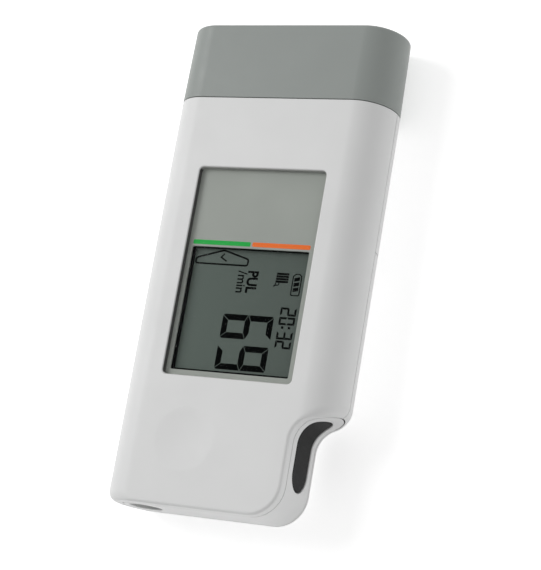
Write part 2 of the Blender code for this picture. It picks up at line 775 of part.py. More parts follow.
def electrode_rail():
    start, end = rail_span()
    rail = rim_strip("electrode_rail", start, end, RAIL_Z, RAIL_WIDTH, 0, WALL, white_plastic)
    slot_start, slot_end = ELECTRODE_START - SEAT_GAP, ELECTRODE_START + ELECTRODE_LENGTH + SEAT_GAP
    width = ELECTRODE_WIDTH + 2 * SEAT_GAP
    cut(rail, rim_strip("electrode_slot", slot_start, slot_end, electrode_z(), width, -STRIP_OVERRUN, WALL + STRIP_OVERRUN))
    reach = KEY_DIAMETER / 2 + SEAT_GAP
    cut(rail, turned("key_hole", (KEY_X, END_Y, KEY_Z), "Y", [(-OVERRUN, reach), (WALL + OVERRUN, reach)]))
    return rail


def electrode_z():
    return THICKNESS - ELECTRODE_DEPTH - ELECTRODE_WIDTH / 2


def finger_electrode():
    """The pad that fills the rail's slot, with a flange behind the rail that holds it in."""
    start, end = ELECTRODE_START, ELECTRODE_START + ELECTRODE_LENGTH
    flange = WALL + SEAT_GAP
    pad = rim_strip(
        "finger_electrode",
        start,
        end,
        electrode_z(),
        ELECTRODE_WIDTH,
        ELECTRODE_RECESS,
        flange + ELECTRODE_FLANGE / 2,
        conductive_black,
        steps=RAIL_STEPS // 2,
    )
    back = rim_strip(
        "electrode_flange",
        start - FLANGE_BORDER,
        end + FLANGE_BORDER,
        electrode_z(),
        ELECTRODE_WIDTH + 2 * FLANGE_BORDER,
        flange,
        flange + ELECTRODE_FLANGE,
        steps=RAIL_STEPS // 2,
    )
    return add(pad, back)


def power_key():
    """A round key with a swollen face, a flange that keeps it in and a stem that meets the switch."""
    radius = KEY_DIAMETER / 2
    ball = (radius**2 + KEY_DOME**2) / (2 * KEY_DOME)
    stations = []
    for step in range(1, CORNER_STEPS + 1):
        reach = radius * step / CORNER_STEPS
        stations.append((KEY_RECESS + ball - math.sqrt(ball**2 - reach**2), reach))
    flange = WALL + SEAT_GAP
    stations += [
        (flange, radius),
        (flange, radius + KEY_FLANGE_BORDER),
        (flange + KEY_FLANGE, radius + KEY_FLANGE_BORDER),
        (flange + KEY_FLANGE, KEY_STEM_RADIUS),
        (flange + KEY_FLANGE + KEY_STEM, KEY_STEM_RADIUS),
    ]
    return turned("power_key", (KEY_X, END_Y, KEY_Z), "Y", stations, grey_plastic)


def key_switch():
    body = box(
        "key_switch",
        (KEY_X - SWITCH_WIDTH / 2, SWITCH_Y, KEY_Z - SWITCH_DROP),
        (KEY_X + SWITCH_WIDTH / 2, SWITCH_Y + SWITCH_LENGTH, BOARD_Z - SEAT_GAP),
        black_plastic,
    )
    stations = [(-PLUNGER_LENGTH, PLUNGER_RADIUS), (SWITCH_LENGTH / 2, PLUNGER_RADIUS)]
    return add(body, turned("switch_plunger", (KEY_X, SWITCH_Y, KEY_Z), "Y", stations, steps=RING_STEPS // 2))


def protective_cap():
    """A hollow cap of the casing's own cross-section, a little narrower at its closed end."""
    length = TOP_Y - SEAM_Y
    rings = []

    def taper(y):
        return CAP_TAPER * (y - SEAM_Y) / length

    mouth = SEAM_Y + SEAM_GAP / 2
    rings.append(section(TOP_Y - CAP_WALL, CAP_WALL + CAP_TAPER + CAP_EDGE))
    rings.append(section(TOP_Y - CAP_WALL - CAP_EDGE, CAP_WALL + CAP_TAPER))
    rings.append(section(mouth, CAP_WALL))
    rings.append(section(mouth, 0.0))
    for step in range(CORNER_STEPS + 1):
        angle = math.radians(90 * step / CORNER_STEPS)
        y = TOP_Y - CAP_EDGE * (1 - math.sin(angle))
        rings.append(section(y, taper(y) + CAP_EDGE * (1 - math.cos(angle))))
    return loft("protective_cap", rings, grey_plastic)


def electrode_neck():
    """The neck that the cap slides over: a hollow head whose roof carries the chest electrode in a recess."""
    recess = NECK_INSET + PLATE_BORDER
    rings = [
        section(NECK_TOP_Y - NECK_ROOF, NECK_INSET + WALL),
        section(NECK_FOOT_Y, NECK_INSET + WALL),
        section(NECK_FOOT_Y, NECK_INSET),
    ]
    for step in range(CORNER_STEPS + 1):
        angle = math.radians(90 * step / CORNER_STEPS)
        y = NECK_TOP_Y - NECK_EDGE * (1 - math.sin(angle))
        rings.append(section(y, NECK_INSET + NECK_EDGE * (1 - math.cos(angle))))
    rings += [section(NECK_TOP_Y, recess), section(NECK_TOP_Y - PLATE_RECESS, recess)]
    neck = loft("electrode_neck", rings, white_plastic)
    hole = STUD_RADIUS + SEAT_GAP
    stations = [(-NECK_ROOF - OVERRUN, hole), (OVERRUN, hole)]
    cut(neck, turned("stud_hole", (0, NECK_TOP_Y, MID_Z), "Y", stations))
    for number, side in enumerate((-1, 1)):
        face = MID_Z + side * (MID_Z - NECK_INSET)
        y = SEAM_Y + BEAD_ABOVE_SEAM
        bead = [
            (y - BEAD_LENGTH, face - side * WALL / 2),
            (y - BEAD_LENGTH, face),
            (y, face + side * BEAD_HEIGHT),
            (y + BEAD_LENGTH, face),
            (y + BEAD_LENGTH, face - side * WALL / 2),
        ]
        add(neck, prism(f"snap_bead_{number}", bead, "X", -BEAD_WIDTH / 2, BEAD_WIDTH / 2))
    return neck


def chest_electrode():
    """A metal plate with a rounded edge and a stud that passes through the neck's roof."""
    inset = NECK_INSET + PLATE_BORDER + SEAT_GAP
    low, high = NECK_TOP_Y - PLATE_RECESS + SEAT_GAP, NECK_TOP_Y + PLATE_PROUD
    rings = [section(low, inset)]
    for step in range(CORNER_STEPS + 1):
        angle = math.radians(90 * step / CORNER_STEPS)
        y = high - PLATE_EDGE * (1 - math.sin(angle))
        rings.append(section(y, inset + PLATE_EDGE * (1 - math.cos(angle))))
    plate = loft("chest_electrode", rings, steel)
    stations = [(-STUD_LENGTH, STUD_RADIUS), (PLATE_RECESS, STUD_RADIUS)]
    return add(plate, turned("electrode_stud", (0, low, MID_Z), "Y", stations, steps=RING_STEPS // 2))


def chest_contact():
    """A bent strip from the board's upper end to the stud of the chest electrode."""
    rest = BOARD_TOP_Z + SEAT_GAP + STRIP_THICK / 2
    board_end = SEAM_Y - BOARD_BELOW_SEAM
    stud_end = NECK_TOP_Y - PLATE_RECESS + SEAT_GAP - STUD_LENGTH
    tip = stud_end - SEAT_GAP - STRIP_THICK / 2
    path = [
        (board_end - STRIP_FOOT, rest),
        (board_end + STRIP_BOW, rest),
        (tip - STRIP_BOW, MID_Z + STUD_RADIUS + STRIP_BOW),
        (tip, MID_Z + STUD_RADIUS),
        (tip, MID_Z - STUD_RADIUS),
        (tip - STRIP_BOW, MID_Z - STUD_RADIUS - STRIP_BOW),
    ]
    return bent_strip("chest_contact", path, "X", 0, nickel)


def finger_contact():
    """A bent strip from the underside of the board to the back of the finger electrode."""
    foot = BOARD_Z - SEAT_GAP - STRIP_THICK / 2
    back = NOTCH_X - WALL - 2 * SEAT_GAP - ELECTRODE_FLANGE - STRIP_THICK / 2
    path = [
        (back - STRIP_BOW, foot),
        (back - STRIP_BOW / 2, foot - STRIP_BOW),
        (back, electrode_z() + STRIP_BOW),
        (back, electrode_z() - STRIP_BOW),
        (back - STRIP_BOW / 2, electrode_z() - 2 * STRIP_BOW),
    ]
    return bent_strip("finger_contact", path, "Y", END_Y + RIGHT_CORNER + STRIP_FOOT, nickel)


def bent_strip(name, path, axis, middle, look):
    """A strip of even thickness along a bent path, centred on a place along the axis."""
    points = [Vector(point) for point in path]
    left, right = [], []
    for number, point in enumerate(points):
        before = points[max(number - 1, 0)]
        after = points[min(number + 1, len(points) - 1)]
        across = (after - before).normalized().orthogonal()
        if number in (0, len(points) - 1):
            reach = STRIP_THICK / 2
        else:
            turn = (point - before).angle(after - point)
            reach = STRIP_THICK / 2 / math.cos(turn / 2)
            across = ((point - before).normalized() + (after - point).normalized()).orthogonal().normalized()
        left.append(point + across * reach)
        right.append(point - across * reach)
    outline = [tuple(point) for point in left + right[::-1]]
    return prism(name, outline, axis, middle - STRIP_WIDTH / 2, middle + STRIP_WIDTH / 2, look)


def display_lens():
    outline = rounded_rectangle(
        0, WINDOW_Y, WINDOW_WIDTH - 2 * SEAT_GAP, WINDOW_LENGTH - 2 * SEAT_GAP, WINDOW_CORNER - SEAT_GAP
    )
    return prism("display_lens", outline, "Z", LENS_Z, LENS_Z + LENS_THICK, clear_plastic)


def display_mask():
    width, length = WINDOW_WIDTH + 2 * MASK_BORDER, WINDOW_LENGTH + 2 * MASK_BORDER
    outline = rounded_rectangle(0, WINDOW_Y, width, length, WINDOW_CORNER)
    mask = prism("display_mask", outline, "Z", MASK_Z, MASK_Z + MASK_THICK, mask_grey)
    view = rounded_rectangle(VIEW_X, VIEW_Y, VIEW_WIDTH, VIEW_LENGTH, LEAST_RADIUS)
    return cut(mask, prism("mask_view", view, "Z", MASK_Z - OVERRUN, MASK_Z + OVERRUN))


def glass_outline(border):
    across, up = VIEW_WIDTH / 2 + border, VIEW_LENGTH / 2 + border
    return (VIEW_X - across, VIEW_Y - up), (VIEW_X + across, VIEW_Y + up)


def lcd_panel():
    """Two glass plates, the front one shorter so that the contact ledge of the rear one lies bare."""
    low, high = glass_outline(GLASS_BORDER)
    middle = GLASS_Z + GLASS_THICK / 2
    ledge = GLASS_BORDER / 2
    outline = [
        (low[1], GLASS_Z),
        (high[1], GLASS_Z),
        (high[1], GLASS_Z + GLASS_THICK),
        (low[1] + ledge, GLASS_Z + GLASS_THICK),
        (low[1] + ledge, middle),
        (low[1], middle),
    ]
    return prism("lcd_panel", outline, "X", low[0], high[0], display_glass)


def lcd_holder():
    """A black frame that stands on the board round the glass, with a lip in front of its border."""
    low, high = glass_outline(GLASS_BORDER + SEAT_GAP + HOLDER_WALL)
    bottom, top = BOARD_TOP_Z + SEAT_GAP, MASK_Z - SEAT_GAP
    frame = box("lcd_holder", (*low, bottom), (*high, top), black_plastic)
    low, high = glass_outline(GLASS_BORDER + SEAT_GAP)
    pocket = box("holder_pocket", (*low, bottom - OVERRUN), (*high, top - HOLDER_LIP))
    low, high = glass_outline(HOLDER_LIP)
    view = box("holder_view", (*low, bottom), (*high, top + OVERRUN))
    return cut(frame, pocket, view)


def board():
    outline = plan(BOARD_HALF, BOARD_INSET, SEAM_Y - BOARD_BELOW_SEAM)
    return prism("main_board", outline, "Z", BOARD_Z, BOARD_TOP_Z, board_green)


def board_parts():
    """What stands on the board between the display and the neck, and hangs below it past the end of the tray."""
    top = BOARD_TOP_Z + SEAT_GAP
    high = NECK_FOOT_Y - PART_MARGIN
    column = BOARD_HALF / 2

    def chip(name, x, high, width, length, thick, look):
        box(name, (x - width / 2, high - length, top), (x + width / 2, high, top + thick), look)

    chip("processor_chip", -column, high, PROCESSOR_SIDE, PROCESSOR_SIDE, PROCESSOR_THICK, black_plastic)
    chip("radio_module", column, high, RADIO_WIDTH, RADIO_LENGTH, RADIO_THICK, steel)
    below = high - PROCESSOR_SIDE - PART_MARGIN
    chip("amplifier_chip", -column, below, AMPLIFIER_SIDE, AMPLIFIER_SIDE, AMPLIFIER_THICK, black_plastic)
    below = SEAM_Y - BOARD_BELOW_SEAM - STRIP_FOOT - PART_MARGIN
    chip("clock_crystal", 0, below, CRYSTAL_WIDTH, CRYSTAL_LENGTH, CRYSTAL_THICK, steel)
    place = (0, TRAY_HIGH_Y + PART_MARGIN + BUZZER_RADIUS, BOARD_Z - SEAT_GAP - BUZZER_THICK)
    turned("buzzer", place, "Z", [(0, BUZZER_RADIUS), (BUZZER_THICK, BUZZER_RADIUS)], black_plastic)


def cell_x(number):
    return PACK_X + (number - (CELL_COUNT - 1) / 2) * CELL_PITCH


def battery_tray():
    """A tray open towards the back, with a hollow for each cell, screw ears on its right and tabs on its left."""
    left, right = PACK_X - PACK_HALF - TRAY_WALL, PACK_X + PACK_HALF + TRAY_WALL
    tray = box("battery_tray", (left, TRAY_END_Y, TRAY_LOW_Z), (right, TRAY_HIGH_Y, TRAY_TOP_Z), black_plastic)
    reach = CELL_DIAMETER / 2 + SEAT_GAP
    outline = [(PACK_X - PACK_HALF, -OVERRUN), (PACK_X - PACK_HALF, CELL_Z)]
    for number in range(CELL_COUNT):
        outline += arc((cell_x(number), CELL_Z), reach, 180, 0, ARC_STEPS)
    outline += [(PACK_X + PACK_HALF, CELL_Z), (PACK_X + PACK_HALF, -OVERRUN)]
    inner = (TRAY_END_Y + TRAY_WALL, TRAY_HIGH_Y - TRAY_WALL)
    cut(tray, prism("cell_hollows", outline, "Y", *inner))
    slot = PLATE_THICK + 2 * SEAT_GAP
    slot_top = CELL_Z + PLATE_WIDTH / 2 + SEAT_GAP
    for number, start in enumerate((inner[0], inner[1] - slot)):
        corners = (PACK_X - PACK_HALF, start, -OVERRUN), (PACK_X + PACK_HALF, start + slot, slot_top)
        cut(tray, box(f"plate_slot_{number}", *corners))
    floor = TRAY_TOP_Z - TRAY_FLOOR
    for number, y in enumerate(TRAY_POST_YS):
        ear_low = (right - TRAY_WALL / 2, y - EAR_RADIUS, floor)
        add(tray, box(f"ear_{number}", ear_low, (POST_X + EAR_RADIUS, y + EAR_RADIUS, TRAY_TOP_Z)))
        bore = [(-OVERRUN, SCREW_RADIUS + SCREW_FIT), (OVERRUN, SCREW_RADIUS + SCREW_FIT)]
        cut(tray, turned(f"ear_bore_{number}", (POST_X, y, TRAY_TOP_Z), "Z", bore, steps=RING_STEPS // 2))
    for number, y in enumerate(tab_places()):
        tab_high = (left + TRAY_WALL / 2, y + TAB_WIDTH / 2, TRAY_TOP_Z)
        add(tray, box(f"tab_{number}", (left - TAB_REACH, y - TAB_WIDTH / 2, floor), tab_high))
    return tray


def battery_cells():
    """Three AAA cells in a row, every other one turned round."""
    radius = CELL_DIAMETER / 2
    for number in range(CELL_COUNT):
        stations = [
            (0, radius - CELL_EDGE),
            (CELL_EDGE, radius),
            (CELL_LENGTH - CELL_EDGE, radius),
            (CELL_LENGTH, radius - CELL_EDGE),
            (CELL_LENGTH, NUB_RADIUS),
            (CELL_WHOLE, NUB_RADIUS),
        ]
        if number % 2:
            stations = [(CELL_WHOLE - along, reach) for along, reach in stations[::-1]]
        turned(f"battery_cell_{number + 1}", (cell_x(number), CELL_END_Y, CELL_Z), "Y", stations, cell_jacket)


def cell_contacts():
    """Plates at both ends of the tray that put the cells in series, and a spring at each flat cell end.

    Odd links join neighbours at the low end and even links at the high end. The current enters at the first cell's
    nub and leaves at the last cell's flat end.
    """
    last = CELL_COUNT - 1
    contact_plate("contact_positive", 1, [0], [0])
    for number in range(1, CELL_COUNT):
        side = -1 if number % 2 else 1
        contact_plate(f"contact_link_{number}", side, [number - 1, number], [number])
    contact_plate("contact_negative", 1 if last % 2 else -1, [last], [])
    for number in range(CELL_COUNT):
        if number % 2:
            cell_spring(number, CELL_END_Y + CELL_WHOLE + SEAT_GAP, 1)
        else:
            cell_spring(number, CELL_END_Y - SEAT_GAP, -1)


def contact_plate(name, side, cells, nubs):
    """A plate across one or two cells, at the low end (-1) or the high end (1), with a dimple for each nub."""
    y = CELL_END_Y - SPRING_LENGTH - 2 * SEAT_GAP
    if side > 0:
        y = CELL_END_Y + CELL_WHOLE + SPRING_LENGTH + 2 * SEAT_GAP
    span = sorted((y, y + side * PLATE_THICK))
    start = (cell_x(cells[0]) - PLATE_WIDTH / 2, span[0], CELL_Z - PLATE_WIDTH / 2)
    end = (cell_x(cells[-1]) + PLATE_WIDTH / 2, span[1], CELL_Z + PLATE_WIDTH / 2)
    plate = box(name, start, end, nickel)
    for cell in nubs:
        ends = sorted((-side * (SPRING_LENGTH + SEAT_GAP), side * PLATE_THICK / 2))
        stations = [(along, DIMPLE_RADIUS) for along in ends]
        add(plate, turned(f"{name}_dimple", (cell_x(cell), y, CELL_Z), "Y", stations, steps=RING_STEPS // 2))


def cell_spring(number, start, side):
    """A conical coil that widens from the cell to the plate."""
    curve = bpy.data.curves.new(f"cell_spring_{number + 1}", "CURVE")
    curve.dimensions = "3D"
    curve.bevel_depth = SPRING_WIRE / 2
    curve.bevel_resolution = 1
    curve.use_fill_caps = True
    steps = SPRING_TURNS * COIL_STEPS
    spline = curve.splines.new("POLY")
    spline.points.add(steps)
    for step, point in enumerate(spline.points):
        share = step / steps
        radius = (SPRING_NARROW + (SPRING_WIDE - SPRING_NARROW) * share - SPRING_WIRE) / 2
        across, up = polar((0, 0), radius, math.tau * SPRING_TURNS * share)
        along = SPRING_WIRE / 2 + (SPRING_LENGTH - SPRING_WIRE) * share
        point.co = (cell_x(number) + across, start + side * along, CELL_Z + up, 1)
    made = bpy.data.objects.new(f"cell_spring_{number + 1}", curve)
    curve.materials.append(steel())
    bpy.context.scene.collection.objects.link(made)


def screws():
    """Two screws hold the back shell and two the tray, all into posts of the front shell."""
    seats = [pad_top() - PAD_FLOOR - SEAT_GAP] * 2 + [TRAY_TOP_Z - TRAY_FLOOR - SEAT_GAP] * 2
    for number, ((x, y), seat) in enumerate(zip(post_places(), seats)):
        tip = POST_END_Z + SCREW_GRIP - SEAT_GAP
        stations = [
            (-SCREW_HEAD_THICK, SCREW_HEAD_RADIUS),
            (0, SCREW_HEAD_RADIUS),
            (0, SCREW_RADIUS),
            (tip - seat, SCREW_RADIUS),
        ]
        turned(f"case_screw_{number + 1}", (x, y, seat), "Z", stations, steel, steps=RING_STEPS // 2)


def main():
    clear_scene()
    front_shell()
    back_shell()
    battery_cover()
    electrode_rail()
    finger_electrode()
    finger_contact()
    power_key()
    key_switch()
    protective_cap()
    electrode_neck()
    chest_electrode()
    chest_contact()
    display_lens()
    display_mask()
    lcd_panel()
    lcd_holder()
    board()
    board_parts()
    battery_tray()
    battery_cells()
    cell_contacts()
    screws()


main()
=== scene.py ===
# %% [markdown]
# # A pocket heart recorder, made piece by piece
# The recorder is a flat white casing that fits a hand. It has a display, a black electrode for the index finger in
# a notch at its side, a grey cap over the electrode for the chest, a round key in its lower end and three small
# cells behind a sliding cover.
# The solids of the recorder are loaded first as a fixed frame. Each visible solid then gets a finer piece in the
# same place, and each hidden one gets a finish of its own.

# %% Load the frame
import math

import bmesh
import bpy
from mathutils import Matrix, Vector


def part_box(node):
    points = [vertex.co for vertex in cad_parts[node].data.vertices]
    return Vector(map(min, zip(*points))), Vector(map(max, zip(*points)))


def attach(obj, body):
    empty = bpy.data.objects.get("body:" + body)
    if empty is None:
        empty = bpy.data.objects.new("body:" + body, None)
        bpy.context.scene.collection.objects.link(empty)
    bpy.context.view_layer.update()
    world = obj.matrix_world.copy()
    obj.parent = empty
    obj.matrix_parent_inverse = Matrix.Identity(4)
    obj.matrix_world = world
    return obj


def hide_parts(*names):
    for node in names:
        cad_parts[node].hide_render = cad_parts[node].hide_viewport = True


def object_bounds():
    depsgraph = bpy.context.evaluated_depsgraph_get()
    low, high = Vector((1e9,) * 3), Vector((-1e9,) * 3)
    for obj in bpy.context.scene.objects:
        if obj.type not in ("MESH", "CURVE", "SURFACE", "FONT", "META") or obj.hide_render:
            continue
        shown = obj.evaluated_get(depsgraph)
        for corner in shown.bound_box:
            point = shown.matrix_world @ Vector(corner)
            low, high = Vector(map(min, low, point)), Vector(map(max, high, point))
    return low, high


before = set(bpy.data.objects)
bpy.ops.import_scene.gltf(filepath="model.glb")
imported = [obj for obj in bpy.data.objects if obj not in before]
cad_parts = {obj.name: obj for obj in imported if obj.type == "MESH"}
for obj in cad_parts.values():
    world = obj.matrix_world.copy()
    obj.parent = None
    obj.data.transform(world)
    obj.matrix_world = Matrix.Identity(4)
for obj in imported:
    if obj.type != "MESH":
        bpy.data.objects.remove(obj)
cad_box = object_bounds()
print("solids loaded:", len(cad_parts))

# %% [markdown]
# ## Sizes
# A recorder of this size is drawn in millimetres, and Blender counts in metres, so every helper below takes
# millimetres and turns them into metres when it makes a mesh. The large sizes are read from the frame, so the pieces
# stay on the solids if these change. The small ones, such as a wall or a corner, are written here.

# %% Sizes of the casing
MM = 0.001


def box_mm(node):
    low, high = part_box(node)
    return low / MM, high / MM


HALF = cad_box[1].x / MM
END = cad_box[0].y / MM
TOP = cad_box[1].y / MM
THICK = cad_box[1].z / MM
MID = THICK / 2
CAD_GAP = 0.3
SEAM = 0.18
BAND_SEAM = 0.24
SEAM_Y = box_mm("protective_cap")[0].y - CAD_GAP / 2
COVER_Y = box_mm("back_shell")[0].y - CAD_GAP / 2
PARTING = box_mm("back_shell")[1].z + CAD_GAP / 2
WALL = 1.4
SIDE_ROUND = 8.75
FLAT_HALF = HALF - SIDE_ROUND
FRONT_EDGE = 0.8
BACK_EDGE = 2.2
LEFT_CORNER = 2.6
RIGHT_CORNER = 8.0
NOTCH_X = HALF - 10.15
HOLLOW = 6.5
LEDGE_ROUND = 3.5
LEDGE_Y = END + 26.9
SLOPE = math.radians(20)
print(f"casing {2 * HALF:.1f} x {TOP - END:.1f} x {THICK:.1f} mm, cap seam at {SEAM_Y:.1f}")

# %% [markdown]
# ## Finishes
# The real recorder is moulded plastic, with a fine even grain that spark erosion leaves in the mould. One flat colour
# would look like paint. Each finish is therefore a small tree of nodes: a broad noise shifts the tone a little, a
# middle one makes the sheen patchy, and a fine one lifts the surface by a few thousandths of a millimetre.
# `wire` adds a node and feeds it in one line. It serves the trees of the shaders and of the shapes alike.

# %% A helper for node trees
def wire(tree, kind, inputs=None, **settings):
    """Adds a node, sets its options, and feeds its inputs with values or with other nodes' outputs."""
    node = tree.nodes.new(kind)
    for name, value in settings.items():
        setattr(node, name, value)
    for key, value in (inputs or {}).items():
        if isinstance(value, bpy.types.NodeSocket):
            tree.links.new(value, node.inputs[key])
        else:
            node.inputs[key].default_value = value
    return node


def blank(name):
    """A new finish, its tree, its shader and the socket that gives places on the piece."""
    made = bpy.data.materials.new(name)
    made.use_nodes = True
    tree = made.node_tree
    place = wire(tree, "ShaderNodeTexCoord").outputs["Object"]
    return made, tree, tree.nodes["Principled BSDF"], place


# %% A moulded plastic
def noise(tree, place, size_mm, detail=2.0):
    """Cloudy values from 0 to 1, with blots of about this size."""
    inputs = {"Vector": place, "Scale": 1 / (size_mm * MM), "Detail": detail}
    return wire(tree, "ShaderNodeTexNoise", inputs)


def spread(tree, value, low, high, start=0.3, end=0.7):
    """Stretches a value between two new ends."""
    inputs = {"Value": value, "From Min": start, "From Max": end, "To Min": low, "To Max": high}
    return wire(tree, "ShaderNodeMapRange", inputs).outputs["Result"]


def tint(tree, share, first, second):
    """Mixes two colours by a share."""
    inputs = {0: share, 6: (*first, 1.0), 7: (*second, 1.0)}
    return wire(tree, "ShaderNodeMix", inputs, data_type="RGBA").outputs[2]


def relief(tree, height, depth_mm, below=None, strength=0.6):
    """A bump of this depth, on top of another bump if one is given."""
    inputs = {"Height": height, "Distance": depth_mm * MM, "Strength": strength}
    if below is not None:
        inputs["Normal"] = below
    return wire(tree, "ShaderNodeBump", inputs).outputs["Normal"]


def moulded(name, colour, rough, grain=0.2, depth=0.012, gloss=0.5):
    """Moulded plastic with an eroded grain, a patchy sheen and a faint mottle."""
    made, tree, shader, place = blank(name)
    shader.inputs["Specular IOR Level"].default_value = gloss
    mottle = 0.02
    broad = noise(tree, place, 18).outputs["Fac"]
    dark = [channel * (1 - mottle) for channel in colour]
    light = [min(channel * (1 + mottle), 1.0) for channel in colour]
    colours = tint(tree, spread(tree, broad, 0, 1), dark, light)
    tree.links.new(colours, shader.inputs["Base Color"])
    patches = noise(tree, place, 2.5, 4).outputs["Fac"]
    tree.links.new(spread(tree, patches, rough - 0.05, rough + 0.05), shader.inputs["Roughness"])
    fine = noise(tree, place, grain, 3).outputs["Fac"]
    tree.links.new(relief(tree, fine, depth), shader.inputs["Normal"])
    return made


white_casing = moulded("white_casing", (0.775, 0.778, 0.775), 0.45, gloss=0.3)
cap_grey = moulded("cap_grey", (0.282, 0.304, 0.29), 0.42, grain=0.25, gloss=0.4)
key_grey = moulded("key_grey", (0.2, 0.205, 0.2), 0.5, grain=0.25, gloss=0.06)
frame_black = moulded("frame_black", (0.022, 0.022, 0.023), 0.5, grain=0.35)
chip_black = moulded("chip_black", (0.03, 0.03, 0.032), 0.45, grain=0.08, depth=0.006)

# %% [markdown]
# The mask behind the lens is a smooth print in a pale grey. The lens itself is a clear sheet that shows mostly by
# its gloss, so it is nearly see-through and very smooth. The display's film is a dark grey-green, with painted shade
# that darkens it from left to right, where the deep window shades it. The seal round it is grey, the grey liner on
# the window's wall is painted shade, and both have a narrow dark strip of painted shade at the left, where the wall
# lies in shade. Both finishes pass from one colour to another across the recorder. The marks on the film are almost
# black.

# %% Print, lens and display
def smooth_print(name, colour, rough, cloud_mm=12.0, mottle=0.03, gloss=0.12):
    """Ink or film: an even colour with a soft cloud, and a faint sheen that varies a little."""
    made, tree, shader, place = blank(name)
    shader.inputs["Specular IOR Level"].default_value = gloss
    cloud = noise(tree, place, cloud_mm).outputs["Fac"]
    dark = [channel * (1 - mottle) for channel in colour]
    light = [channel * (1 + mottle) for channel in colour]
    tree.links.new(tint(tree, spread(tree, cloud, 0, 1), dark, light), shader.inputs["Base Color"])
    specks = noise(tree, place, 0.4, 3).outputs["Fac"]
    tree.links.new(spread(tree, specks, rough - 0.04, rough + 0.04), shader.inputs["Roughness"])
    tree.links.new(relief(tree, specks, 0.002), shader.inputs["Normal"])
    return made


def shaded_print(name, first, second, start_mm, end_mm, rough):
    """A print that passes from one colour to another along X."""
    made, tree, shader, place = blank(name)
    shader.inputs["Specular IOR Level"].default_value = 0.1
    shader.inputs["Roughness"].default_value = rough
    x = wire(tree, "ShaderNodeSeparateXYZ", {0: place}).outputs["X"]
    share = spread(tree, x, 0, 1, start_mm * MM, end_mm * MM)
    tree.links.new(tint(tree, share, first, second), shader.inputs["Base Color"])
    specks = noise(tree, place, 0.4, 3).outputs["Fac"]
    tree.links.new(relief(tree, specks, 0.002), shader.inputs["Normal"])
    return made


mask_print = smooth_print("mask_print", (0.415, 0.442, 0.408), 0.5)
green_print = smooth_print("green_print", (0.018, 0.47, 0.072), 0.45)
orange_print = smooth_print("orange_print", (1.0, 0.2, 0.036), 0.45)
# Painted shade: the film's colour darkens from left to right, where the deep window shades it.
film_left = (0.108, 0.139, 0.121)
film_right_painted_shade = (0.096, 0.12, 0.106)
display_film_painted_shade = shaded_print("display_film_painted_shade", film_left, film_right_painted_shade, -12, 16, 0.35)
display_ink = smooth_print("display_ink", (0.002, 0.0025, 0.0025), 0.4, gloss=0.0)
# Painted shade: the seal's grey turns dark in a narrow strip at the left, where the window's wall lies in shade.
seal_left_painted_shade = (0.1, 0.102, 0.098)
seal_right = (0.42, 0.425, 0.41)
seal_grey_painted_shade = shaded_print("seal_grey_painted_shade", seal_left_painted_shade, seal_right, -17.05, -16.8, 0.6)
clear_lens = smooth_print("clear_lens", (0.02, 0.022, 0.022), 0.08, gloss=0.3)
clear_lens.node_tree.nodes["Principled BSDF"].inputs["Alpha"].default_value = 0.03
print("prints and films made")

# %% [markdown]
# Metals have no grain but a direction: a plate is brushed along its length, and a spring strip is rolled and
# plated. The same noise, drawn out along one axis by a Mapping node, gives those fine lines.

# %% Metals
def brushed(name, colour, rough, stretch=(1, 30, 30), depth=0.004):
    """Metal with fine lines along the axis that is stretched least."""
    made, tree, shader, place = blank(name)
    drawn = wire(tree, "ShaderNodeMapping", {"Vector": place, "Scale": stretch}).outputs["Vector"]
    lines = noise(tree, drawn, 4.0, 4).outputs["Fac"]
    dark = [channel * 0.9 for channel in colour]
    tree.links.new(tint(tree, spread(tree, lines, 0, 1), dark, colour), shader.inputs["Base Color"])
    tree.links.new(spread(tree, lines, rough - 0.06, rough + 0.08), shader.inputs["Roughness"])
    tree.links.new(relief(tree, lines, depth), shader.inputs["Normal"])
    shader.inputs["Metallic"].default_value = 1.0
    return made


plate_steel = brushed("plate_steel", (0.62, 0.62, 0.63), 0.3)
screw_steel = brushed("screw_steel", (0.5, 0.5, 0.52), 0.34, (20, 20, 3))
spring_steel = brushed("spring_steel", (0.6, 0.59, 0.57), 0.28, (8, 8, 8))
strip_nickel = brushed("strip_nickel", (0.7, 0.68, 0.62), 0.26, (20, 1, 20))
print("metals made")

# %% [markdown]
# The finger's electrode is a carbon-filled black plastic. Its mould gives it a fine slanting hatch that keeps the
# finger from slipping. The hatch's ridges are a bump, and lighter stripes on them are painted highlights. The hatch
# follows the pad round the notch, so it is drawn on the pad's own coordinates: the distance along the rim and the
# height, which the pad's mesh keeps in an attribute called strip.

# %% The hatched electrode
def hatched(name, colour, pitch_mm=0.42):
    made, tree, shader, place = blank(name)
    strip = wire(tree, "ShaderNodeAttribute", attribute_name="strip").outputs["Vector"]
    turn = {"Vector": strip, "Rotation": (0, 0, math.radians(52))}
    along = wire(tree, "ShaderNodeMapping", turn).outputs["Vector"]
    wave_inputs = {"Vector": along, "Scale": 2 * math.pi / (20 * pitch_mm)}
    wave = wire(tree, "ShaderNodeTexWave", wave_inputs, wave_profile="SIN").outputs["Fac"]
    # Painted highlights: the colour turns lighter along the hatch's ridges and darker between them.
    dark = [channel * 0.35 for channel in colour]
    light = [channel * 1.6 for channel in colour]
    shader.inputs["Specular IOR Level"].default_value = 0.06
    tree.links.new(tint(tree, wave, dark, light), shader.inputs["Base Color"])
    grain = noise(tree, place, 0.12, 3).outputs["Fac"]
    tree.links.new(spread(tree, grain, 0.42, 0.58), shader.inputs["Roughness"])
    ridges = relief(tree, wave, 0.05)
    tree.links.new(relief(tree, grain, 0.006, ridges), shader.inputs["Normal"])
    return made


pad_black = hatched("pad_black", (0.02, 0.02, 0.02))
print("hatched finish made")

# %% [markdown]
# A circuit board is glass fibre under a green lacquer. The weave shows faintly, and the copper tracks lift the
# lacquer in straight runs. Two bands of noise, each drawn out along one axis, make the tracks. A cell wears a shrunk
# film with a dull metallic sheen, and a darker band marks the end with the nub.

